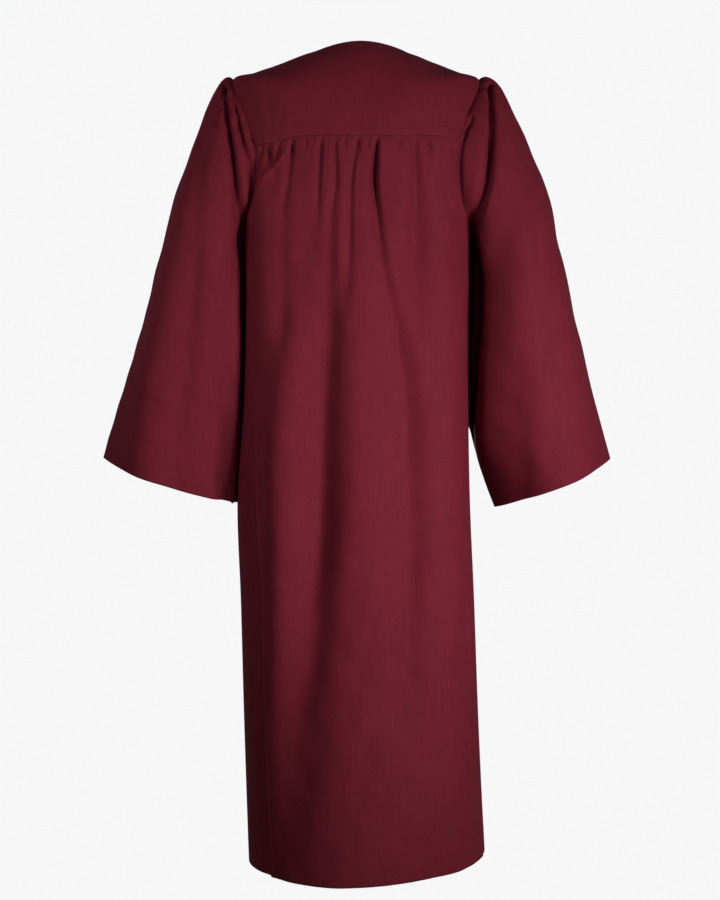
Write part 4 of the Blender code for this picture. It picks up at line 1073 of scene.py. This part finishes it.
def lacquer_material():
    material, tree, shader = new_material("maroon_lacquer", LACQUER_FINISH)
    place = add_node(tree, "ShaderNodeTexCoord", None, "Object")
    mottle = add_node(tree, "ShaderNodeTexNoise", Vector=place, Scale=420.0, Detail=3.0)
    scuffs = add_node(tree, "ShaderNodeTexNoise", Vector=place, Scale=260.0, Detail=5.0, Roughness=0.7)
    wear = ((scuffs - 0.62) * 7.0).clamp(0.0, 1.0)
    paint = mottle.blend(LACQUER_DARK, LACQUER_LIGHT)
    bare = add_node(tree, "ShaderNodeMix", {"data_type": "RGBA"}, i0=wear, i6=paint, i7=(*BARE_METAL, 1))
    bump = add_node(tree, "ShaderNodeBump", None, Strength=0.15, Distance=0.00005, Height=mottle)
    drive(tree, shader, Base_Color=bare, Roughness=0.46 - wear * 0.08 + mottle * 0.06, Metallic=wear, Normal=bump)
    return material


LACQUER = lacquer_material()
for name in ("zip_slider", "zip_pull"):
    node = bpy.data.objects[name]
    for slot in node.material_slots:
        slot.material = LACQUER
    edges = node.modifiers.new("edges", "BEVEL")
    edges.width, edges.segments, edges.limit_method = 0.00022, 2, "ANGLE"
    print(name, "keeps its", len(node.data.polygons), "faces")

# %% [markdown]
# ## The record of a piece's cut
# A garment is flat cloth before it is sewn, and a piece's cut is told by its widest width, its length, and its
# area, because none is a rectangle. Only the record is defined here, with these and held and hangs_from.

# %% Sheets
Cut = namedtuple("Cut", "width length area held hangs_from")

# %% [markdown]
# ## Light, floor and camera
# The studio is an even, pale surround with one soft lamp on the right of the picture, level with the gown's
# middle, so the shoulders and the hem fall away into shade. The surround would wash the folds out if it lit
# the cloth as brightly as it looks, so the lamps and a dimmer surround do the lighting. The floor glows as
# the surround does, so that no horizon shows. The camera stands behind the gown and looks slightly down.

# %% Studio
SURROUND, AMBIENT = 0.925, 0.15


def make_floor():
    mesh = bpy.data.meshes.new("floor")
    form = bmesh.new()
    bmesh.ops.create_circle(form, cap_ends=True, segments=64, radius=60)
    form.to_mesh(mesh)
    form.free()
    floor = bpy.data.objects.new("floor", mesh)
    floor.location.z = -2.2
    bpy.context.scene.collection.objects.link(floor)
    material = bpy.data.materials.new("pale_floor")
    material.use_nodes = True
    shader = material.node_tree.nodes["Principled BSDF"]
    shader.inputs["Base Color"].default_value = (0, 0, 0, 1)
    shader.inputs["Specular IOR Level"].default_value = 0
    shader.inputs["Emission Color"].default_value = (SURROUND, SURROUND, SURROUND, 1)
    shader.inputs["Emission Strength"].default_value = 1
    mesh.materials.append(material)
    floor.visible_diffuse = floor.visible_glossy = False
    return floor


def add_lamp(name, place, target, power, size, spread):
    light = bpy.data.lights.new(name, "AREA")
    light.energy, light.size, light.spread = power, size, math.radians(spread)
    lamp = bpy.data.objects.new(name, light)
    lamp.location = place
    lamp.rotation_mode = "QUATERNION"
    lamp.rotation_quaternion = (Vector(target) - Vector(place)).to_track_quat("-Z", "Y")
    bpy.context.scene.collection.objects.link(lamp)
    return lamp


make_floor()
world = bpy.data.worlds.new("surround")
world.use_nodes = True
background = world.node_tree.nodes["Background"]
background.inputs["Color"].default_value = (1, 1, 1, 1)
seen = add_node(world.node_tree, "ShaderNodeLightPath")
level = seen * (SURROUND - AMBIENT) + AMBIENT
world.node_tree.links.new(level.socket, background.inputs["Strength"])
bpy.context.scene.world = world
add_lamp("key", (-1.46, 1.78, -0.56), (0.05, 0.0, -0.56), 6.3, 0.7, 60)
add_lamp("left_fill", (1.45, 1.20, -0.06), (0.15, 0.0, -0.14), 1.2, 0.6, 62)
add_lamp("front_fill", (0.15, -3.2, 0.0), (0.0, 0.0, -0.60), 115, 0.8, 180)
bpy.context.scene.view_settings.view_transform = "Standard"

# %% Camera
camera_data = bpy.data.cameras.new("camera")
camera_data.sensor_width, camera_data.lens = 36, 86.02
camera = bpy.data.objects.new("camera", camera_data)
camera.location = (0, 3.4, -0.2333)
camera.rotation_euler = (math.pi / 2 - 0.10162, 0, math.pi)
bpy.context.scene.collection.objects.link(camera)
bpy.context.scene.camera = camera
